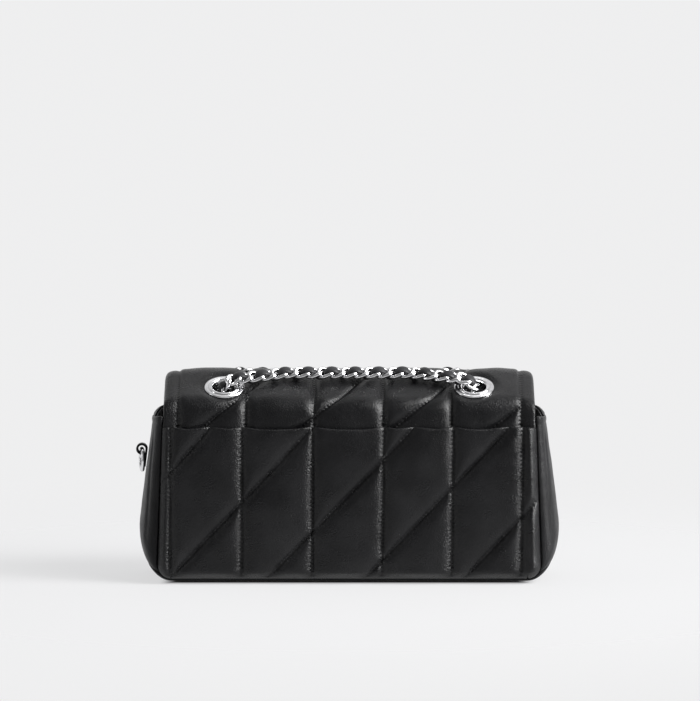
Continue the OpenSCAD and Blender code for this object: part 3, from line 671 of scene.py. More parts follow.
def flap_seams():
    """The border seam, the upright seams and the rising ones, as lines of (x, v)."""
    bx, v_corner, v_low = FLAP_HALF - BORDER, V_END - FLAP_CORNER, V_END - BORDER
    cx, radius = FLAP_HALF - FLAP_CORNER, FLAP_CORNER - BORDER
    arc = [(cx + radius * math.cos(a), v_corner + radius * math.sin(a)) for a in np.linspace(0, math.pi / 2, 9)]
    seams = [[(bx, V_LOW + 1)] + arc + [(-x, v) for x, v in arc[::-1]] + [(-bx, V_LOW + 1)]]
    for px in FLAP_UPRIGHT_PX:
        seams.append([(photo_x(px), V_LOW + 1), (photo_x(px), v_low)])

    def inside(p):
        x, v = abs(p[0]), p[1]
        if v < V_LOW + 2 or v > v_low or x > bx:
            return False
        return x <= cx or v <= v_corner or math.hypot(x - cx, v - v_corner) < radius

    # up to the crown the rising seams are straight as the camera sees them, which looks down a
    # little, and over the front they rise at 45 degrees
    lean, base, look_down = 1.2, 79.0, 0.087
    low_v = np.arange(V_LOW + 2, V_CROWN / 2, 2.5)
    seen = np.interp(low_v, RUN, SKIN_Z) + look_down * np.interp(low_v, RUN, SKIN_Y)
    over = np.arange(0.5, V_END, 0.5)
    for x0 in (124.5, 76.3, 27.6, -18.0, -66.7, -114.5, -162.5, -210.5):
        back = [(x0 + lean * (h - base), v) for h, v in zip(seen, low_v)]
        kept = [p for p in back + [(back[-1][0] + step, back[-1][1] + step) for step in over] if inside(p)]
        if len(kept) > 4:
            seams.append([kept[0]] + [p for p in kept[1:-1] if p[1] < V_CROWN / 2] + [kept[-1]])
    return seams


FLAP_SEAMS = flap_seams()


def grommet_gap(x, v):
    """Distance from the nearest grommet's middle."""
    v_back = ROLL_RUN + SLOPE_LEN / 2 - GROMMET_DROP
    aside = np.abs(x) - GROMMET_X
    return np.minimum(np.hypot(aside, v - v_back), np.hypot(aside, v - V_FRONT_TOP + v_back))


def top_sag(x, v, nz):
    """How far the flap's top hangs: at its edges, which turn down past the gussets, and in the middle."""
    k = np.clip((np.abs(x) - EDGE_START) / EDGE_WIDE, 0, 1)
    edges = EDGE_DROP * (1 - np.sqrt(np.clip(1 - k * k, 0, 1))) * np.where(v > 0, 1, 0)
    return (edges + 0.6 * np.exp(-(x / 50.0) ** 2)) * nz ** 2


def skin_level(x, v):
    """How far the skin stands out from its profile, with the distance to a seam and the place along it."""
    near, soft, along = seam_field(x, v, FLAP_SEAMS)
    edge = skin_edge(x, v)
    past_border = np.abs(x) - (FLAP_HALF - BORDER)
    puff = pillow(soft, rise=3.0, reach=5.2, crown=1.2)
    waves = 0.3 * ripple(x, v, seed=2.0, size=24) * smooth(soft / 5)
    level = -2.6 + puff * (1 - 0.35 * smooth(past_border / 0.6)) + waves
    level = level + 0.8 * np.exp(-(past_border / 3.0) ** 2) * smooth(v / 12)
    # behind the slip pocket it lies flat
    hidden = smooth((-v - 7) / 6)
    level = level * (1 - hidden) + (-0.5 + 0.45 * puff) * hidden
    seat = 1 - smooth((grommet_gap(x, v) - 9.0) / 5.0)
    return level * (1 - seat) - 0.1 * seat, near, along, edge


def skin_surface(x, v):
    level, _, _, edge = skin_level(x, v)
    mid = -FLAP_T / 2
    level = mid + (level - mid) * dome(edge, 1.5)
    y, z, ny, nz = skin_at(v)
    # it swells over the pocket's mouth
    level = level + 1.3 * (1 - smooth((v + 8) / 15)) * smooth((v + 14) / 5)
    return np.stack([np.broadcast_to(x, np.shape(y)), y + ny * level, z + nz * level - top_sag(x, v, nz)], axis=-1)


def skin_rows(step):
    corner_b = V_LOW + PANEL_CORNER * (1 - np.cos(np.linspace(0, math.pi / 2, 12)))
    corner_f = V_END - FLAP_CORNER * (1 - np.sin(np.linspace(0, math.pi / 2, 40)))
    return join_steps(corner_b, span(corner_b[-1], -16, 2.4), span(-16, 48, step),
                      span(48, V_END - FLAP_CORNER, step * 1.45), corner_f)


def make_skin():
    vs = skin_rows(0.66)
    f = edge_steps(FLAP_HALF, 0.72) / FLAP_HALF
    v = np.repeat(vs[:, None], len(f), axis=1)
    x = f[None, :] * skin_half(v)
    level, near, along, edge = skin_level(x, v)
    outer = skin_surface(x, v)
    _, _, ny, nz = skin_at(v)
    # the leather is turned over at its edge and thinner under the lining
    turned, thin, panel, least = -2.55, 0.75, -1.5, -0.25
    behind = np.where(v < -2, panel, turned + thin * smooth((edge - 4.6) / 1.2))
    depth = np.minimum(behind - level, least) * dome(edge, 1.5)
    inner = outer + np.stack([0 * x, ny * depth, nz * depth], axis=-1)
    obj = shell("back_and_flap_quilt", outer, inner, QUILTED, (along, near))
    cut_grommet_holes(obj)
    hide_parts("back_panel", "flap_leather", "flap_stiffener", "back_stiffener")
    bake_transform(obj)
    stitches = lay_stitches("back_and_flap_stitches", skin_surface, FLAP_SEAMS,
                            keep=lambda px, pv: (grommet_gap(px, pv) > 9.4) & (pv > -14) & (skin_edge(px, pv) > 1.2))
    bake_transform(stitches)


def grommet_places():
    """Each grommet's two name words, its side (-1 behind, 1 in front), its middle and its axis."""
    for sx, word in ((-1, "left"), (1, "right")):
        for s, side in ((-1, "back"), (1, "front")):
            yield (side, word, s,
                   np.array([sx * GROMMET_X, (FLAP_FRONT - FLAP_REAR) / 2 + s * GROMMET_Y, GROMMET_Z]),
                   np.array([0, s * math.cos(SLOPE), math.sin(SLOPE)]))


def around_axis(mesh, middle, axis, radius, reach):
    """Which of the mesh's points lie within a radius of an axis."""
    d = points_of(mesh) - SHIFT - middle
    h = d @ axis
    return (np.linalg.norm(d - h[:, None] * axis, axis=1) < radius) & (np.abs(h) < reach)


def select_in(mesh, points, edges):
    mesh.polygons.foreach_set("select", np.zeros(len(mesh.polygons), dtype=bool))
    mesh.vertices.foreach_set("select", points)
    mesh.edges.foreach_set("select", edges)


def cut_grommet_holes(obj):
    """Takes the leather out from under the grommets' flanges, so that the chain's way is open."""
    mesh = obj.data
    pick(obj)
    gone = np.zeros(len(mesh.vertices), dtype=bool)
    for *_, middle, axis in grommet_places():
        gone |= around_axis(mesh, middle, axis, 7.2, 5)
    select_in(mesh, gone, np.zeros(len(mesh.edges), dtype=bool))
    bpy.ops.object.mode_set(mode="EDIT")
    bpy.ops.mesh.select_mode(type="VERT")
    bpy.ops.mesh.delete(type="VERT")
    bpy.ops.object.mode_set(mode="OBJECT")
    # the two skins are joined round each hole by itself
    for *_, middle, axis in grommet_places():
        near = around_axis(mesh, middle, axis, 10.0, 6)
        pairs = np.empty(len(mesh.edges) * 2, dtype=int)
        mesh.edges.foreach_get("vertices", pairs)
        pairs = pairs.reshape(-1, 2)
        used = np.empty(len(mesh.loops), dtype=int)
        mesh.loops.foreach_get("edge_index", used)
        rim = (np.bincount(used, minlength=len(pairs)) == 1) & near[pairs].all(axis=1)
        points = np.zeros(len(mesh.vertices), dtype=bool)
        points[pairs[rim].ravel()] = True
        select_in(mesh, points, rim)
        bpy.ops.object.mode_set(mode="EDIT")
        bpy.ops.mesh.select_mode(type="EDGE")
        bpy.ops.mesh.bridge_edge_loops()
        bpy.ops.object.mode_set(mode="OBJECT")
    for p in mesh.polygons:
        p.use_smooth = True


def make_flap_lining():
    inset = 4.0
    start = V_END - FLAP_CORNER
    small = FLAP_CORNER - inset
    vs = join_steps(span(-6, start, 1.7), V_END - FLAP_CORNER * (1 - np.sin(np.linspace(0, math.pi / 2, 24))))
    # the lower edge is moved up by the inset, the sides in by it
    vs = np.where(vs > start, start + (vs - start) * small / FLAP_CORNER, vs)
    f = edge_steps(FLAP_HALF, 1.9) / FLAP_HALF
    v = np.repeat(vs[:, None], len(f), axis=1)
    y, z, ny, nz = skin_at(v)
    drop = np.clip(FLAP_LOW + FLAP_CORNER - z, 0, small)
    half = np.where(v > V_FRONT_TOP, FLAP_HALF - FLAP_CORNER + np.sqrt(np.clip(small ** 2 - drop ** 2, 0, None)),
                    FLAP_HALF - inset)
    x = f[None, :] * half
    # below the fold the lining lies on the body's own lining
    low = smooth((1 - v) / 7)
    edge = np.minimum((1 - np.abs(f[None, :])) * half, np.minimum(v - v.min(), v.max() - v))
    body = dome(edge, 0.6)
    sag = top_sag(x, v, nz)

    def layer(under, wall):
        return np.stack([x, (y - ny * under) * (1 - low) + (wall - INNER_Y) * low, z - nz * under - sag], axis=-1)

    outer = layer(2.85 - 0.4 * (1 - body) - 0.15 * ripple(x, v, seed=4.0, size=18) * body, 0.45)
    inner = layer(1.9 + 0.4 * (1 - body), -0.3)
    obj = shell("flap_lining_cloth", outer, inner, LINING)
    cut_grommet_holes(obj)
    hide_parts("flap_lining")
    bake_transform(obj)


def front_seams():
    low, top, half, shortest = SEAM_LOW, 82.0, 84.0, 6
    seams = [[(x, low), (x, top)] for x in (-half, -50.5, -17, 17, 50.5, half)]
    for x0 in (-127, -79, -31, 17, 65, 113, 161):
        a, b = max(-half, x0 + low - top), min(half, x0)
        if b - a > shortest:
            seams.append([(x, low + x0 - x) for x in (a, b)])
    return seams


FRONT_SEAMS = front_seams()


def front_level(x, z):
    near, soft, along = seam_field(x, z, FRONT_SEAMS)
    waves = 0.15 * ripple(x, z, seed=3.0, size=24) * smooth(soft / 5)
    return -1.1 + pillow(soft, rise=1.4, reach=5.0, crown=0.6) + waves, near, along


def front_surface(x, z):
    level, _, _ = front_level(x, z)
    y = FRONT_Y - 1.6 + (level + 1.6) * dome(panel_edge(x, z), 2.2)
    return np.stack([x, np.minimum(y, FRONT_Y + 0.2), z], axis=-1)


def make_front():
    step = 0.85
    x, z = panel_grid(panel_rows(WALL_TOP, 13, step), edge_steps(PANEL_LOW, step))
    outer = front_surface(x, z)
    _, near, along = front_level(x, z)
    edge = panel_edge(x, z)
    lip = dome(WALL_TOP - z, 1.2)
    middle, back = FRONT_Y - 1.4, FRONT_Y - 2.1
    outer[..., 1] = middle + (outer[..., 1] - middle) * lip
    inner = outer.copy()
    inner[..., 1] -= np.maximum(outer[..., 1] - back, 0.2) * np.minimum(lip, dome(edge, 1.0))
    obj = shell("front_quilt", outer, inner, QUILTED, (along, near))
    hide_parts("front_panel", "front_stiffener")
    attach(obj, "bag_body")
    stitches = lay_stitches("front_stitches", front_surface, FRONT_SEAMS, sink=-0.05,
                            keep=lambda px, pz: (pz < WALL_TOP - 1) & (panel_edge(px, pz) > 1.2))
    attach(stitches, "bag_body")


def edge_line(t):
    """The panel's edge and the widest line, as x and z of each. t is 0 at the top, 1 where the corner
    begins, 2 at the joining seam and 3 at the bottom."""
    down, outward, under = (np.clip(t - k, 0, 1) for k in range(3))

    def line(lean, top, half, wide, tall, bottom):
        turn = np.where(t <= 2, lean - (JOINING + lean) * outward, -JOINING + (JOINING - math.pi / 2) * under)
        cx, cz = half - wide, bottom + tall
        start_x, start_z = cx + wide * math.cos(lean), cz + tall * math.sin(lean)
        return (np.where(t < 1, top + (start_x - top) * down, cx + wide * np.cos(turn)),
                np.where(t < 1, HEM_TOP + (start_z - HEM_TOP) * down, cz + tall * np.sin(turn)))

    return (*line(LEAN, PANEL_TOP, PANEL_LOW, PANEL_CORNER, PANEL_CORNER, BASE_BULGE),
            *line(GUSSET_START, GUSSET_HALF_TOP, GUSSET_HALF_LOW, CORNER_WIDE, CORNER_TALL, 0.0))


def strip_point(t, s, depth, side):
    """A point of the gusset strip: t along it, s across it from back to front, depth under its face."""
    ex, ez, wx, wz = edge_line(t)
    length = np.hypot(wx - ex, wz - ez)
    off_middle, power = np.abs(2 * s - 1), 2.6
    out = (length - depth) * np.clip(1 - off_middle ** power, 0, None) ** (1 / power) / length
    y0, y1 = -BACK_Y - 1.4 + depth, FRONT_Y - depth
    sag = HEM_SAG * (1 - off_middle ** 3) * (1 - smooth(t / 0.5))
    return np.stack([side * (ex + (wx - ex) * out), y0 + (y1 - y0) * s, ez + (wz - ez) * out - sag], axis=-1)


def gusset_soft(t, s, side):
    """How far the gusset's skin stands under its full form."""
    down = np.clip(t, 0, 1)
    from_top, from_seam = down * GUSSET_RUN, (t - 2) * CORNER_RUN
    slack = 0.35 * ripple(down * 80, s * GUSSET_DEPTH, seed=5.0 + side, size=30)
    fold = 0.5 * np.exp(-((s - 0.52) / 0.1) ** 2) * (1 - smooth(down / 0.8))
    hem = -0.35 * (1 - smooth((from_top - 3.4) / 0.6)) + 0.35 * np.exp(-((from_top - 3.9) / 0.5) ** 2)
    seam = 0.5 * np.exp(-((from_seam + 0.45) / 1.2) ** 2) + 0.4 * np.exp(-(from_seam / 5) ** 2)
    beside = np.minimum(s, 1 - s) - 0.075 - 0.012 * np.sin(down * 5.0)
    crease = 0.75 * np.exp(-(beside / 0.022) ** 2) * smooth((down - 0.05) / 0.2) * (1 - smooth((t - 0.75) / 0.6))
    return np.where(t < 2, 0.12 + slack * 0.6 + fold + hem + seam + crease, 0.35)


def across_steps(count):
    return (1 - np.cos(np.linspace(0, math.pi, count))) / 2


def make_gusset(side, name):
    top = np.array([0.0, 0.12, 0.35, 0.7, 1.15, 1.7])
    ts = np.concatenate([top / GUSSET_RUN, span(2.5 / GUSSET_RUN, 1, 1 / GUSSET_RUN), span(1, 2, 0.045)[1:]])
    t, s = np.meshgrid(ts, across_steps(57), indexing="ij")
    lip = np.minimum(dome(t * GUSSET_RUN, 1.1), dome((2 - t) * CORNER_RUN, 0.9))
    body = np.minimum(lip, dome(np.minimum(s, 1 - s) * GUSSET_DEPTH, 0.5))
    soft = gusset_soft(t, s, side)
    half = 0.7
    outer = strip_point(t, s, soft + half * (1 - lip), side)
    inner = strip_point(t, s, np.maximum(soft, 0) + half + half * body, side)
    obj = shell("gusset_skin_" + name, outer, inner, PLAIN)
    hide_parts("gusset_" + name)
    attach(obj, "bag_body")

    def surface(a, b):
        t, s = a / GUSSET_RUN, b / GUSSET_DEPTH
        return strip_point(t, s, gusset_soft(t, s, side), side)
    seams = [[(run, 2.0), (run, GUSSET_DEPTH - 2)] for run in (3.9, GUSSET_RUN * 1.955)]
    stitches = lay_stitches("gusset_stitches_" + name, surface, seams, sink=0.0)
    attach(stitches, "bag_body")


def make_gusset_lining(side, name):
    top = np.array([0.0, 0.3, 0.8])
    ts = np.concatenate([top / GUSSET_RUN, span(1.6 / GUSSET_RUN, 1, 2.5 / GUSSET_RUN), span(1, 2, 0.1)[1:]])
    t, s = np.meshgrid(ts, across_steps(29), indexing="ij")
    wave = 0.25 * ripple(t * GUSSET_RUN, s * GUSSET_DEPTH, seed=8.0 + side)
    body = np.minimum(dome(t * GUSSET_RUN, 0.6), dome((2 - t) * CORNER_RUN, 0.6))
    below_hem = 0.012
    outer = strip_point(t + below_hem, s, 1.75 + 0.3 * (1 - body), side)
    inner = strip_point(t + below_hem, s, 2.4 - 0.3 * (1 - body) + wave * body, side)
    # its border is the outer face's, so that it closes against the gusset
    for part in BORDERS:
        inner[part] = outer[part]
    obj = shell("gusset_lining_cloth_" + name, inner, outer, LINING)
    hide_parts("gusset_lining_" + name)
    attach(obj, "bag_body")


def base_points(q, s, depth):
    """The base strip: q from -1 at one joining seam to 1 at the other."""
    turn = GUSSET_CORNER * (math.pi / 2 - JOINING)
    far = np.abs(q) * (BASE_FLAT + turn)
    point = strip_point(3 - np.clip((far - BASE_FLAT) / turn, 0, 1), s, depth, 1.0)
    point[..., 0] *= np.where(q < 0, -1.0, 1.0) * np.clip(far / BASE_FLAT, 0, 1)
    return point


def make_base():
    half = 95
    q, s = np.meshgrid(np.linspace(-1, 1, 181), across_steps(49), indexing="ij")
    wave = 0.12 * ripple(q * half, s * GUSSET_DEPTH, seed=6.0, size=30)
    edge = dome(np.minimum(s, 1 - s) * GUSSET_DEPTH, 0.5)
    end = dome((1 - np.abs(q)) * half, 0.8)
    outer = base_points(q, s, 0.3 + wave + 0.5 * (1 - end))
    inner = base_points(q, s, 1.4 - 0.4 * (1 - np.minimum(edge, end)))
    outer[..., 2] = np.maximum(outer[..., 2], 0.02)
    # the base strip wears the leather with painted shade
    obj = shell("base_skin", outer, inner, SHADED_BASE_LEATHER)
    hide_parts("base_strip")
    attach(obj, "bag_body")
    q, s = np.meshgrid(np.linspace(-1, 1, 91), across_steps(25), indexing="ij")
    outer = base_points(q, s, 1.6)
    inner = base_points(q, s, 2.15 + 0.1 * ripple(q * half, s * GUSSET_DEPTH, seed=9.0, size=26))
    for part in BORDERS:
        inner[part] = outer[part]
    obj = shell("base_lining_cloth", inner, outer, LINING)
    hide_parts("base_lining")
    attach(obj, "bag_body")


def make_wall_lining(name, sign, node, seed):
    zs = join_steps(corner_rows(9), span(BASE_BULGE + PANEL_CORNER, WALL_TOP, 2.0))
    x, z = panel_grid(zs, edge_steps(PANEL_LOW, 2.2, (0.0, 0.5)), 0.4)
    wave = 0.22 * ripple(x, z, seed, size=28)
    room = smooth((WALL_TOP - z) / 6) * smooth(panel_edge(x, z) / 6)
    face = np.stack([x, sign * (INNER_Y + 0.05 - (wave - 0.1) * room), z], axis=-1)
    wall = np.stack([x, sign * (INNER_Y + 0.75) + 0 * x, z], axis=-1)
    for part in BORDERS:
        face[part][..., 1] = sign * (INNER_Y + 0.4)
    obj = shell(name, face, wall, LINING)
    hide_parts(node)
    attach(obj, "bag_body")


def make_inner_pocket():
    half, low, top = 42.0, 24.0, 70.0
    hem_seam, sewn = 7.6, 1.6

    def surface(x, z):
        edge = np.minimum(half - np.abs(x), z - low)
        gap = 0.55 + 0.8 * dome(edge, 5) + 0.25 * ripple(x, z, seed=7.0, size=24) * smooth(edge / 8)
        hem = 0.3 * (1 - smooth((top - z - 7.5) / 0.8)) - 0.25 * np.exp(-((top - z - hem_seam) / 0.5) ** 2)
        sag = 0.5 * np.cos(x / half * math.pi / 2) * smooth((z - low) / (top - low))
        return np.stack([x, -INNER_Y + gap + hem * smooth(edge / 3), z - sag], axis=-1)

    fine = np.array([0, 0.3, 0.8, 1.4])
    zs = join_steps(low + fine, span(low + fine[-1], top - fine[-1], 1.6), top - fine[::-1])
    x, z = np.meshgrid(edge_steps(half, 1.6, tuple(fine)), zs)
    outer = surface(x, z)
    inner = outer.copy()
    inner[..., 1] -= 0.55 * np.minimum(dome(np.minimum(half - np.abs(x), z - low), 0.5), dome(top - z, 0.5))
    obj = shell("inner_pocket_cloth", outer, inner, LINING)
    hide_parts("inner_pocket")
    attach(obj, "bag_body")
    side = half - sewn
    around = [(-side, top - 0.5), (-side, low + sewn), (side, low + sewn), (side, top - 0.5)]
    hem_line = [(-side, top - hem_seam), (side, top - hem_seam)]
    stitches = lay_stitches("inner_pocket_stitches", surface, [around, hem_line],
                            sink=-0.05, pitch=2.6, length=1.9, radius=0.2)
    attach(stitches, "bag_body")


def with_flap(obj):
    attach(obj, "flap")


def with_body(obj):
    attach(obj, "bag_body")


def loose_parts(node):
    """The points of each separate solid of a node."""
    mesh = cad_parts[node].data
    co = points_of(mesh)
    # triangles of one link share places, so points are joined by place and by face
    _, where = np.unique(np.round(co * 1000).astype(np.int64), axis=0, return_inverse=True)
    where = where.ravel()
    parent = np.arange(where.max() + 1)

    def root(i):
        while parent[i] != i:
            parent[i] = parent[parent[i]]
            i = parent[i]
        return i
    for p in mesh.polygons:
        first = root(where[p.vertices[0]])
        for i in p.vertices[1:]:
            parent[root(where[i])] = first
    group = np.array([root(i) for i in where])
    return [co[group == g] for g in np.unique(group)]


def ordered_links(node):
    """The links' middles and flat sides, in the order in which they hang in each other."""
    parts = loose_parts(node)
    centres = np.array([p.mean(0) for p in parts])
    # the end of the run is the link that has its neighbours on one side
    gaps = np.linalg.norm(centres[:, None] - centres[None], axis=2)
    best = None
    for first in range(len(centres)):
        two = np.argsort(gaps[first])[1:3]
        a, b = centres[two] - centres[first]
        score = a @ b / (np.linalg.norm(a) * np.linalg.norm(b))
        if best is None or score > best[0]:
            best = (score, first)
    order, left = [best[1]], set(range(len(centres))) - {best[1]}
    step, straight_on = None, 1.5
    while left:
        ids = np.array(sorted(left))
        ahead = centres[ids] - centres[order[-1]]
        cost = np.linalg.norm(ahead, axis=1)
        if step is not None:
            cost = cost - straight_on * (ahead @ step) / np.maximum(cost, 1e-6)
        pick_one = int(ids[np.argmin(cost)])
        step = unit(centres[pick_one] - centres[order[-1]])
        order.append(pick_one)
        left.discard(pick_one)
    normals = [np.linalg.svd(parts[i] - centres[i], full_matrices=False)[2][2] for i in order]
    return centres[order], np.array(normals)


def link_frames(node):
    """Each link's middle, its direction along the chain, and the chain's own flat side, looking out."""
    centres, normals = ordered_links(node)
    t = unit(np.gradient(centres, axis=0))
    normals = square_to(normals, t)
    for i in range(1, len(normals)):
        if normals[i] @ normals[i - 1] < 0:
            normals[i] = -normals[i]
    # the links tilt to and fro, so their neighbours' normals are taken in
    last = len(normals) - 1
    flat = square_to(np.array([normals[max(0, i - 1)] + normals[i] * 2 + normals[min(last, i + 1)]
                               for i in range(last + 1)]), t)
    from_middle = centres - SHIFT - np.array([0, 0, 40.0])
    return centres, t, flat if np.sum(flat * from_middle) > 0 else -flat


def link_mesh(around, tube):
    """One curb link: an oval of slightly flattened wire, twisted so that the chain lies flat."""
    wire, half, straight, twist, flatter = 1.02, 3.25, 0.55, 0.95, 0.94
    points, faces = [], []
    for k in range(around):
        a = 2 * math.pi * k / around
        c, ahead = (np.array([(half + straight) * math.cos(b), half * math.sin(b), -twist * math.sin(2 * b)])
                    for b in (a, a + 0.01))
        t = unit(ahead - c)
        out = np.array([math.cos(a), math.sin(a), 0.0])
        out = unit(out - t * (out @ t))
        up = np.cross(t, out)
        for j in range(tube):
            b = 2 * math.pi * (j + 0.5) / tube
            points.append(c + out * math.cos(b) * wire + up * math.sin(b) * wire * flatter)
            here, there, beside = k * tube, (k + 1) % around * tube, (j + 1) % tube
            faces.append((here + j, there + j, there + beside, here + beside))
    return np.array(points), faces


def make_chain(name, node, around, tube, mover):
    centres, t, flat = link_frames(node)
    body, pattern = link_mesh(around, tube)
    points, faces = [], []
    for i in range(len(centres)):
        points.append(centres[i] + body @ np.stack([t[i], np.cross(flat[i], t[i]), flat[i]]))
        faces += [tuple(i * len(body) + v for v in f) for f in pattern]
    obj = make_piece(name, np.concatenate(points), faces, SILVER, placed=False)
    fix_facing(obj)
    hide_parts(node)
    mover(obj)


def fix_facing(obj):
    pick(obj)
    bpy.ops.object.mode_set(mode="EDIT")
    bpy.ops.mesh.select_all(action="SELECT")
    bpy.ops.mesh.normals_make_consistent(inside=False)
    bpy.ops.object.mode_set(mode="OBJECT")


def weave_phase(centres, flat, lace_node):
    """1 where the solid lace lies outside at the first joint, -1 where it lies inside."""
    co = points_of(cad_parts[lace_node].data)
    even = 0
    for i in range(len(centres) - 1):
        outward = unit(flat[i] + flat[i + 1])
        step = unit(centres[i + 1] - centres[i])
        d = co - (centres[i] + centres[i + 1]) / 2
        close = (np.abs(d @ step) < 1.6) & (np.linalg.norm(d, axis=1) < 5)
        if close.any():
            even += np.sign((d[close] @ outward).mean()) * (1 if i % 2 == 0 else -1)
    return 1 if even > 0 else -1


def make_lace(name, chain_node, lace_node, mover):
    """A padded leather lace that swings out over one joint of the chain and in under the next."""
    wide, narrow, thick, out_high, in_high = 5.0, 3.4, 1.6, 2.0, 2.1
    centres, _, flat = link_frames(chain_node)
    steps, last = 12, len(centres) - 1
    idx = np.arange(-3, last * steps + 4) / steps
    inner = np.clip(idx, 0, last)

    def at(values):
        """A smooth curve through the links' values."""
        low = np.clip(np.floor(inner).astype(int), 0, last - 1)
        f = (inner - low)[:, None]
        p0, p1, p2, p3 = (values[np.clip(low + k, 0, last)] for k in (-1, 0, 1, 2))
        return 0.5 * (2 * p1 + (p2 - p0) * f + (2 * p0 - 5 * p1 + 4 * p2 - p3) * f ** 2
                      + (3 * p1 - p0 - 3 * p2 + p3) * f ** 3)
    # the ends run on straight for a quarter of a link
    beyond = np.where(idx[:, None] < 0, centres[1] - centres[0], centres[-1] - centres[-2])
    path = at(centres) + (idx - inner)[:, None] * beyond
    along = unit(np.gradient(path, axis=0))
    v = square_to(at(flat), along)
    u = np.cross(v, along)
    # a little more than half of each turn of the weave lies outside
    more = 0.3
    wave = weave_phase(centres, flat, lace_node) * np.sin(math.pi * idx) + more
    wave = np.where(wave > 0, wave / (1 + more), wave / (1 - more))
    lift = np.where(wave > 0, out_high, in_high) * np.sign(wave) * np.sqrt(np.abs(wave))
    path = path + v * lift[:, None]
    nrm = unit(np.cross(unit(np.gradient(path, axis=0)), u))
    bulge = smooth(np.abs(wave) * 1.4)
    half_wide = ((narrow + (wide - narrow) * bulge) / 2)[:, None]
    half_thick = (thick / 2 * (0.8 + 0.3 * bulge))[:, None]
    # a padded strip, pressed where it crosses a link
    upper = ((-1.0, 0.0), (-0.86, 0.62), (-0.45, 0.95), (0, 1.08), (0.45, 0.95), (0.86, 0.62))
    section = upper + tuple((-a, -b) for a, b in upper)
    points = np.stack([path + u * a * half_wide + nrm * b * half_thick for a, b in section], axis=1).reshape(-1, 3)
    obj = make_piece(name, points, tube_faces(len(path), len(section)), LACE, placed=False)
    fix_facing(obj)
    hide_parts(lace_node)
    mover(obj)


def spin_ring(name, profile, finish, steps=64):
    """A lathed ring about Z from a closed cross-section of (radius, height) in millimetres."""
    bpy.ops.object.select_all(action="DESELECT")
    bpy.ops.mesh.primitive_circle_add(vertices=len(profile), radius=1, location=(0, 0, 0))
    obj = bpy.context.active_object
    obj.name = name
    for vertex, (r, h) in zip(obj.data.vertices, profile):
        vertex.co = (r / 1000, 0, h / 1000)
    bpy.ops.object.mode_set(mode="EDIT")
    bpy.ops.mesh.select_all(action="SELECT")
    bpy.ops.mesh.spin(steps=steps, angle=2 * math.pi, center=(0, 0, 0), axis=(0, 0, 1))
    bpy.ops.mesh.select_all(action="SELECT")
    bpy.ops.mesh.remove_doubles(threshold=1e-6)
    bpy.ops.mesh.normals_make_consistent(inside=False)
    bpy.ops.object.mode_set(mode="OBJECT")
    obj.data.materials.append(finish)
    bpy.ops.object.shade_smooth_by_angle(angle=math.radians(42))
    return obj


def grommet_profile():
    """Rounded flange, a groove, and a rounded inner step that runs down into the barrel."""
    pts = [(9.9, 0.02), (9.9, 0.25), (9.78, 0.48), (9.5, 0.64), (9.0, 0.7), (8.45, 0.64), (8.15, 0.6)]
    pts += [(7.95, 0.72), (7.88, 0.92), (7.68, 1.1), (7.3, 1.2), (6.85, 1.18), (6.4, 1.0), (6.08, 0.7), (5.88, 0.3)]
    pts += [(5.8, 0.0), (5.8, -1.6), (5.8, -3.2), (6.0, -3.75), (6.6, -3.9), (7.3, -3.85), (7.7, -3.6), (7.7, -3.3)]
    pts += [(6.4, -3.3), (6.4, -1.5), (6.4, 0.02)]
    return pts


def bake_place(obj, matrix):
    obj.data.transform(matrix)
    obj.data.update()


def make_grommets():
    for side, word, s, middle, _ in grommet_places():
        ring = spin_ring("grommet_ring_%s_%s" % (side, word), grommet_profile(), SILVER)
        turn = Matrix.Rotation(s * (SLOPE - math.pi / 2), 4, "X")
        bake_place(ring, Matrix.Translation(Vector((middle + SHIFT) / 1000)) @ turn)
        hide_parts("grommet_%s_%s" % (side, word))
        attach(ring, "flap")


def make_side_ring():
    """A ring of round wire, soldered beside its top, hanging a little turned in its loop."""
    lo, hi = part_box("side_ring")
    wire = (hi.x - lo.x) / 2
    middle = (hi.z - lo.z) / 2 - wire
    bpy.ops.object.select_all(action="DESELECT")
    bpy.ops.mesh.primitive_torus_add(major_segments=56, minor_segments=16, major_radius=middle, minor_radius=wire,
                                     location=(0, 0, 0))
    ring = bpy.context.active_object
    ring.name = "side_ring_wire"
    for vertex in ring.data.vertices:
        a = math.atan2(vertex.co.y, vertex.co.x)
        bead = 1 + 0.1 * math.exp(-((abs(a - math.pi / 2) - 0.75) / 0.06) ** 2)
        core = Vector((math.cos(a), math.sin(a), 0)) * middle
        vertex.co = core + (vertex.co - core) * bead
    stand = Matrix.Rotation(math.pi / 2 + math.radians(9), 4, "Z") @ Matrix.Rotation(math.pi / 2, 4, "X")
    bake_place(ring, Matrix.Translation((lo + hi) / 2) @ stand)
    ring.data.materials.append(SILVER)
    bpy.ops.object.shade_smooth()
    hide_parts("side_ring")
    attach(ring, "side_ring")


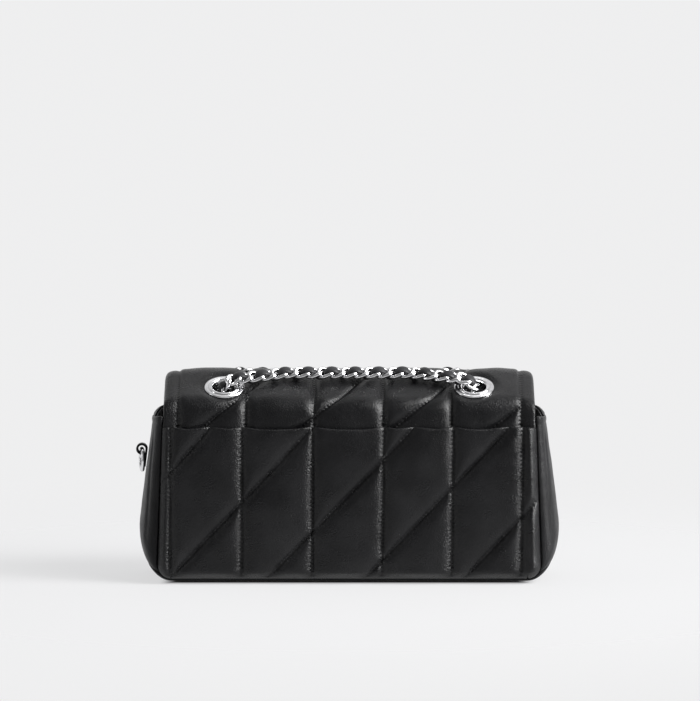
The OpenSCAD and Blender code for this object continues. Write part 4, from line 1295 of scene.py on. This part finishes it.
def make_ring_tab():
    """A leather loop around the ring's top with a tail under a domed rivet."""
    lo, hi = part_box("side_ring")
    wire = (hi.x - lo.x) * 500
    cx, cy, cz = (lo.x + hi.x) * 500, (lo.y + hi.y) * 500, hi.z * 1000 - wire
    clearance, thick, half = 0.8, 1.05, 2.5
    radius = wire + clearance + thick / 2
    # the path of the strip's middle in the plane across the bag, from the tail's end round the ring
    pts = [(cx + radius - (cz - z) * math.tan(GUSSET_LEAN), z)
           for z in np.linspace(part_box("ring_tab")[0].z * 1000 + 0.1, cz - 1.0, 14)]
    pts += [(cx + radius * math.cos(a), cz + radius * math.sin(a)) for a in np.linspace(0, math.radians(250), 26)]
    end = pts[-1]
    pts += [(end[0] + (cx + radius - 0.9 - end[0]) * k, end[1] - 1.6 * k) for k in np.linspace(0.3, 1, 4)]
    pts = np.array(pts)
    keep = [0]
    for i in range(1, len(pts)):
        if np.hypot(*(pts[i] - pts[keep[-1]])) > 0.2:
            keep.append(i)
    pts = pts[keep]
    d = unit(np.gradient(pts, axis=0))
    section = ((-1, -0.5), (-1, 0.5), (-0.93, 0.86), (-0.8, 1), (0, 1.06), (0.8, 1), (0.93, 0.86), (1, 0.5),
               (1, -0.5), (0.93, -0.86), (0.8, -1), (0, -1), (-0.8, -1), (-0.93, -0.86))
    points = []
    for i, (p, (dx, dz)) in enumerate(zip(pts, d)):
        # the tail's end is rounded off
        wide = half * min(1.0, 0.55 + i * 0.22)
        points += [(p[0] + dz * b * thick / 2, cy + a * wide, p[1] - dx * b * thick / 2) for a, b in section]
    faces = tube_faces(len(pts), len(section))
    obj = make_piece("ring_tab_leather", points, faces, PLAIN, placed=False)
    fix_facing(obj)
    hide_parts("ring_tab")
    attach(obj, "bag_body")
    # the rivet's domed head
    lo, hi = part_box("ring_tab_rivet")
    profile = [(0.01, 0.0), (1.9, 0.0), (1.92, 0.22), (1.78, 0.5), (1.45, 0.74), (1.0, 0.9), (0.5, 0.97), (0.01, 1.0)]
    head = spin_ring("ring_tab_rivet_head", profile, SILVER, 32)
    seat = Vector((hi.x - 0.0001, (lo.y + hi.y) / 2, (lo.z + hi.z) / 2))
    bake_place(head, Matrix.Translation(seat) @ Matrix.Rotation(GUSSET_LEAN - math.pi / 2, 4, "Y"))
    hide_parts("ring_tab_rivet")
    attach(head, "bag_body")


def finish_cad_nodes():
    """Materials of the carried-over nodes."""
    by_word = (("washer", STEEL), ("magnet", MAGNET), ("stiffener", BOARD), ("board", BOARD), ("lining", LINING),
               ("pocket", LINING), ("lace", LACE), ("chain", SILVER), ("grommet", SILVER), ("ring", SILVER))
    for name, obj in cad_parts.items():
        finish = next((f for word, f in by_word if word in name), PLAIN)
        for s in obj.material_slots:
            s.material = finish


bpy.context.scene.view_settings.view_transform = "Standard"
place_camera()
light_world()
lay_floor()
add_lamp("key_from_the_right", place=(2.3, -0.75, 1.05), aim=(0, 0, 0.06), size=(1.2, 2.0), power=165.0)
add_lamp("high_right", place=(1.5, -1.0, 1.9), aim=(0, 0, 0.08), size=(1.0, 1.0), power=36.0)
add_lamp("soft_top", place=(0.3, 0.4, 2.4), aim=(0, 0, 0.05), size=(1.2, 0.9), power=5.0)
add_lamp("left_fill", place=(-2.2, -0.7, 0.7), aim=(0, 0, 0.06), size=(0.6, 1.6), power=6.0)

finish_cad_nodes()
make_pocket()
make_skin()
make_flap_lining()
make_front()
for side, word in ((-1, "left"), (1, "right")):
    make_gusset(side, word)
    make_gusset_lining(side, word)
make_base()
make_wall_lining("back_lining_cloth", -1, "back_lining", 11.0)
make_wall_lining("front_lining_cloth", 1, "front_lining", 12.0)
make_inner_pocket()
for word in ("back", "front"):
    make_chain("chain_links_" + word, "chain_%s_strand" % word, 18, 8, with_flap)
    make_lace("chain_lace_" + word, "chain_%s_strand" % word, "lace_%s_strand" % word, with_flap)
for word in ("left", "right"):
    make_chain("chain_links_tucked_" + word, "chain_stored_" + word, 12, 6, with_body)
    make_lace("chain_lace_tucked_" + word, "chain_stored_" + word, "lace_stored_" + word, with_body)
make_grommets()
make_side_ring()
make_ring_tab()
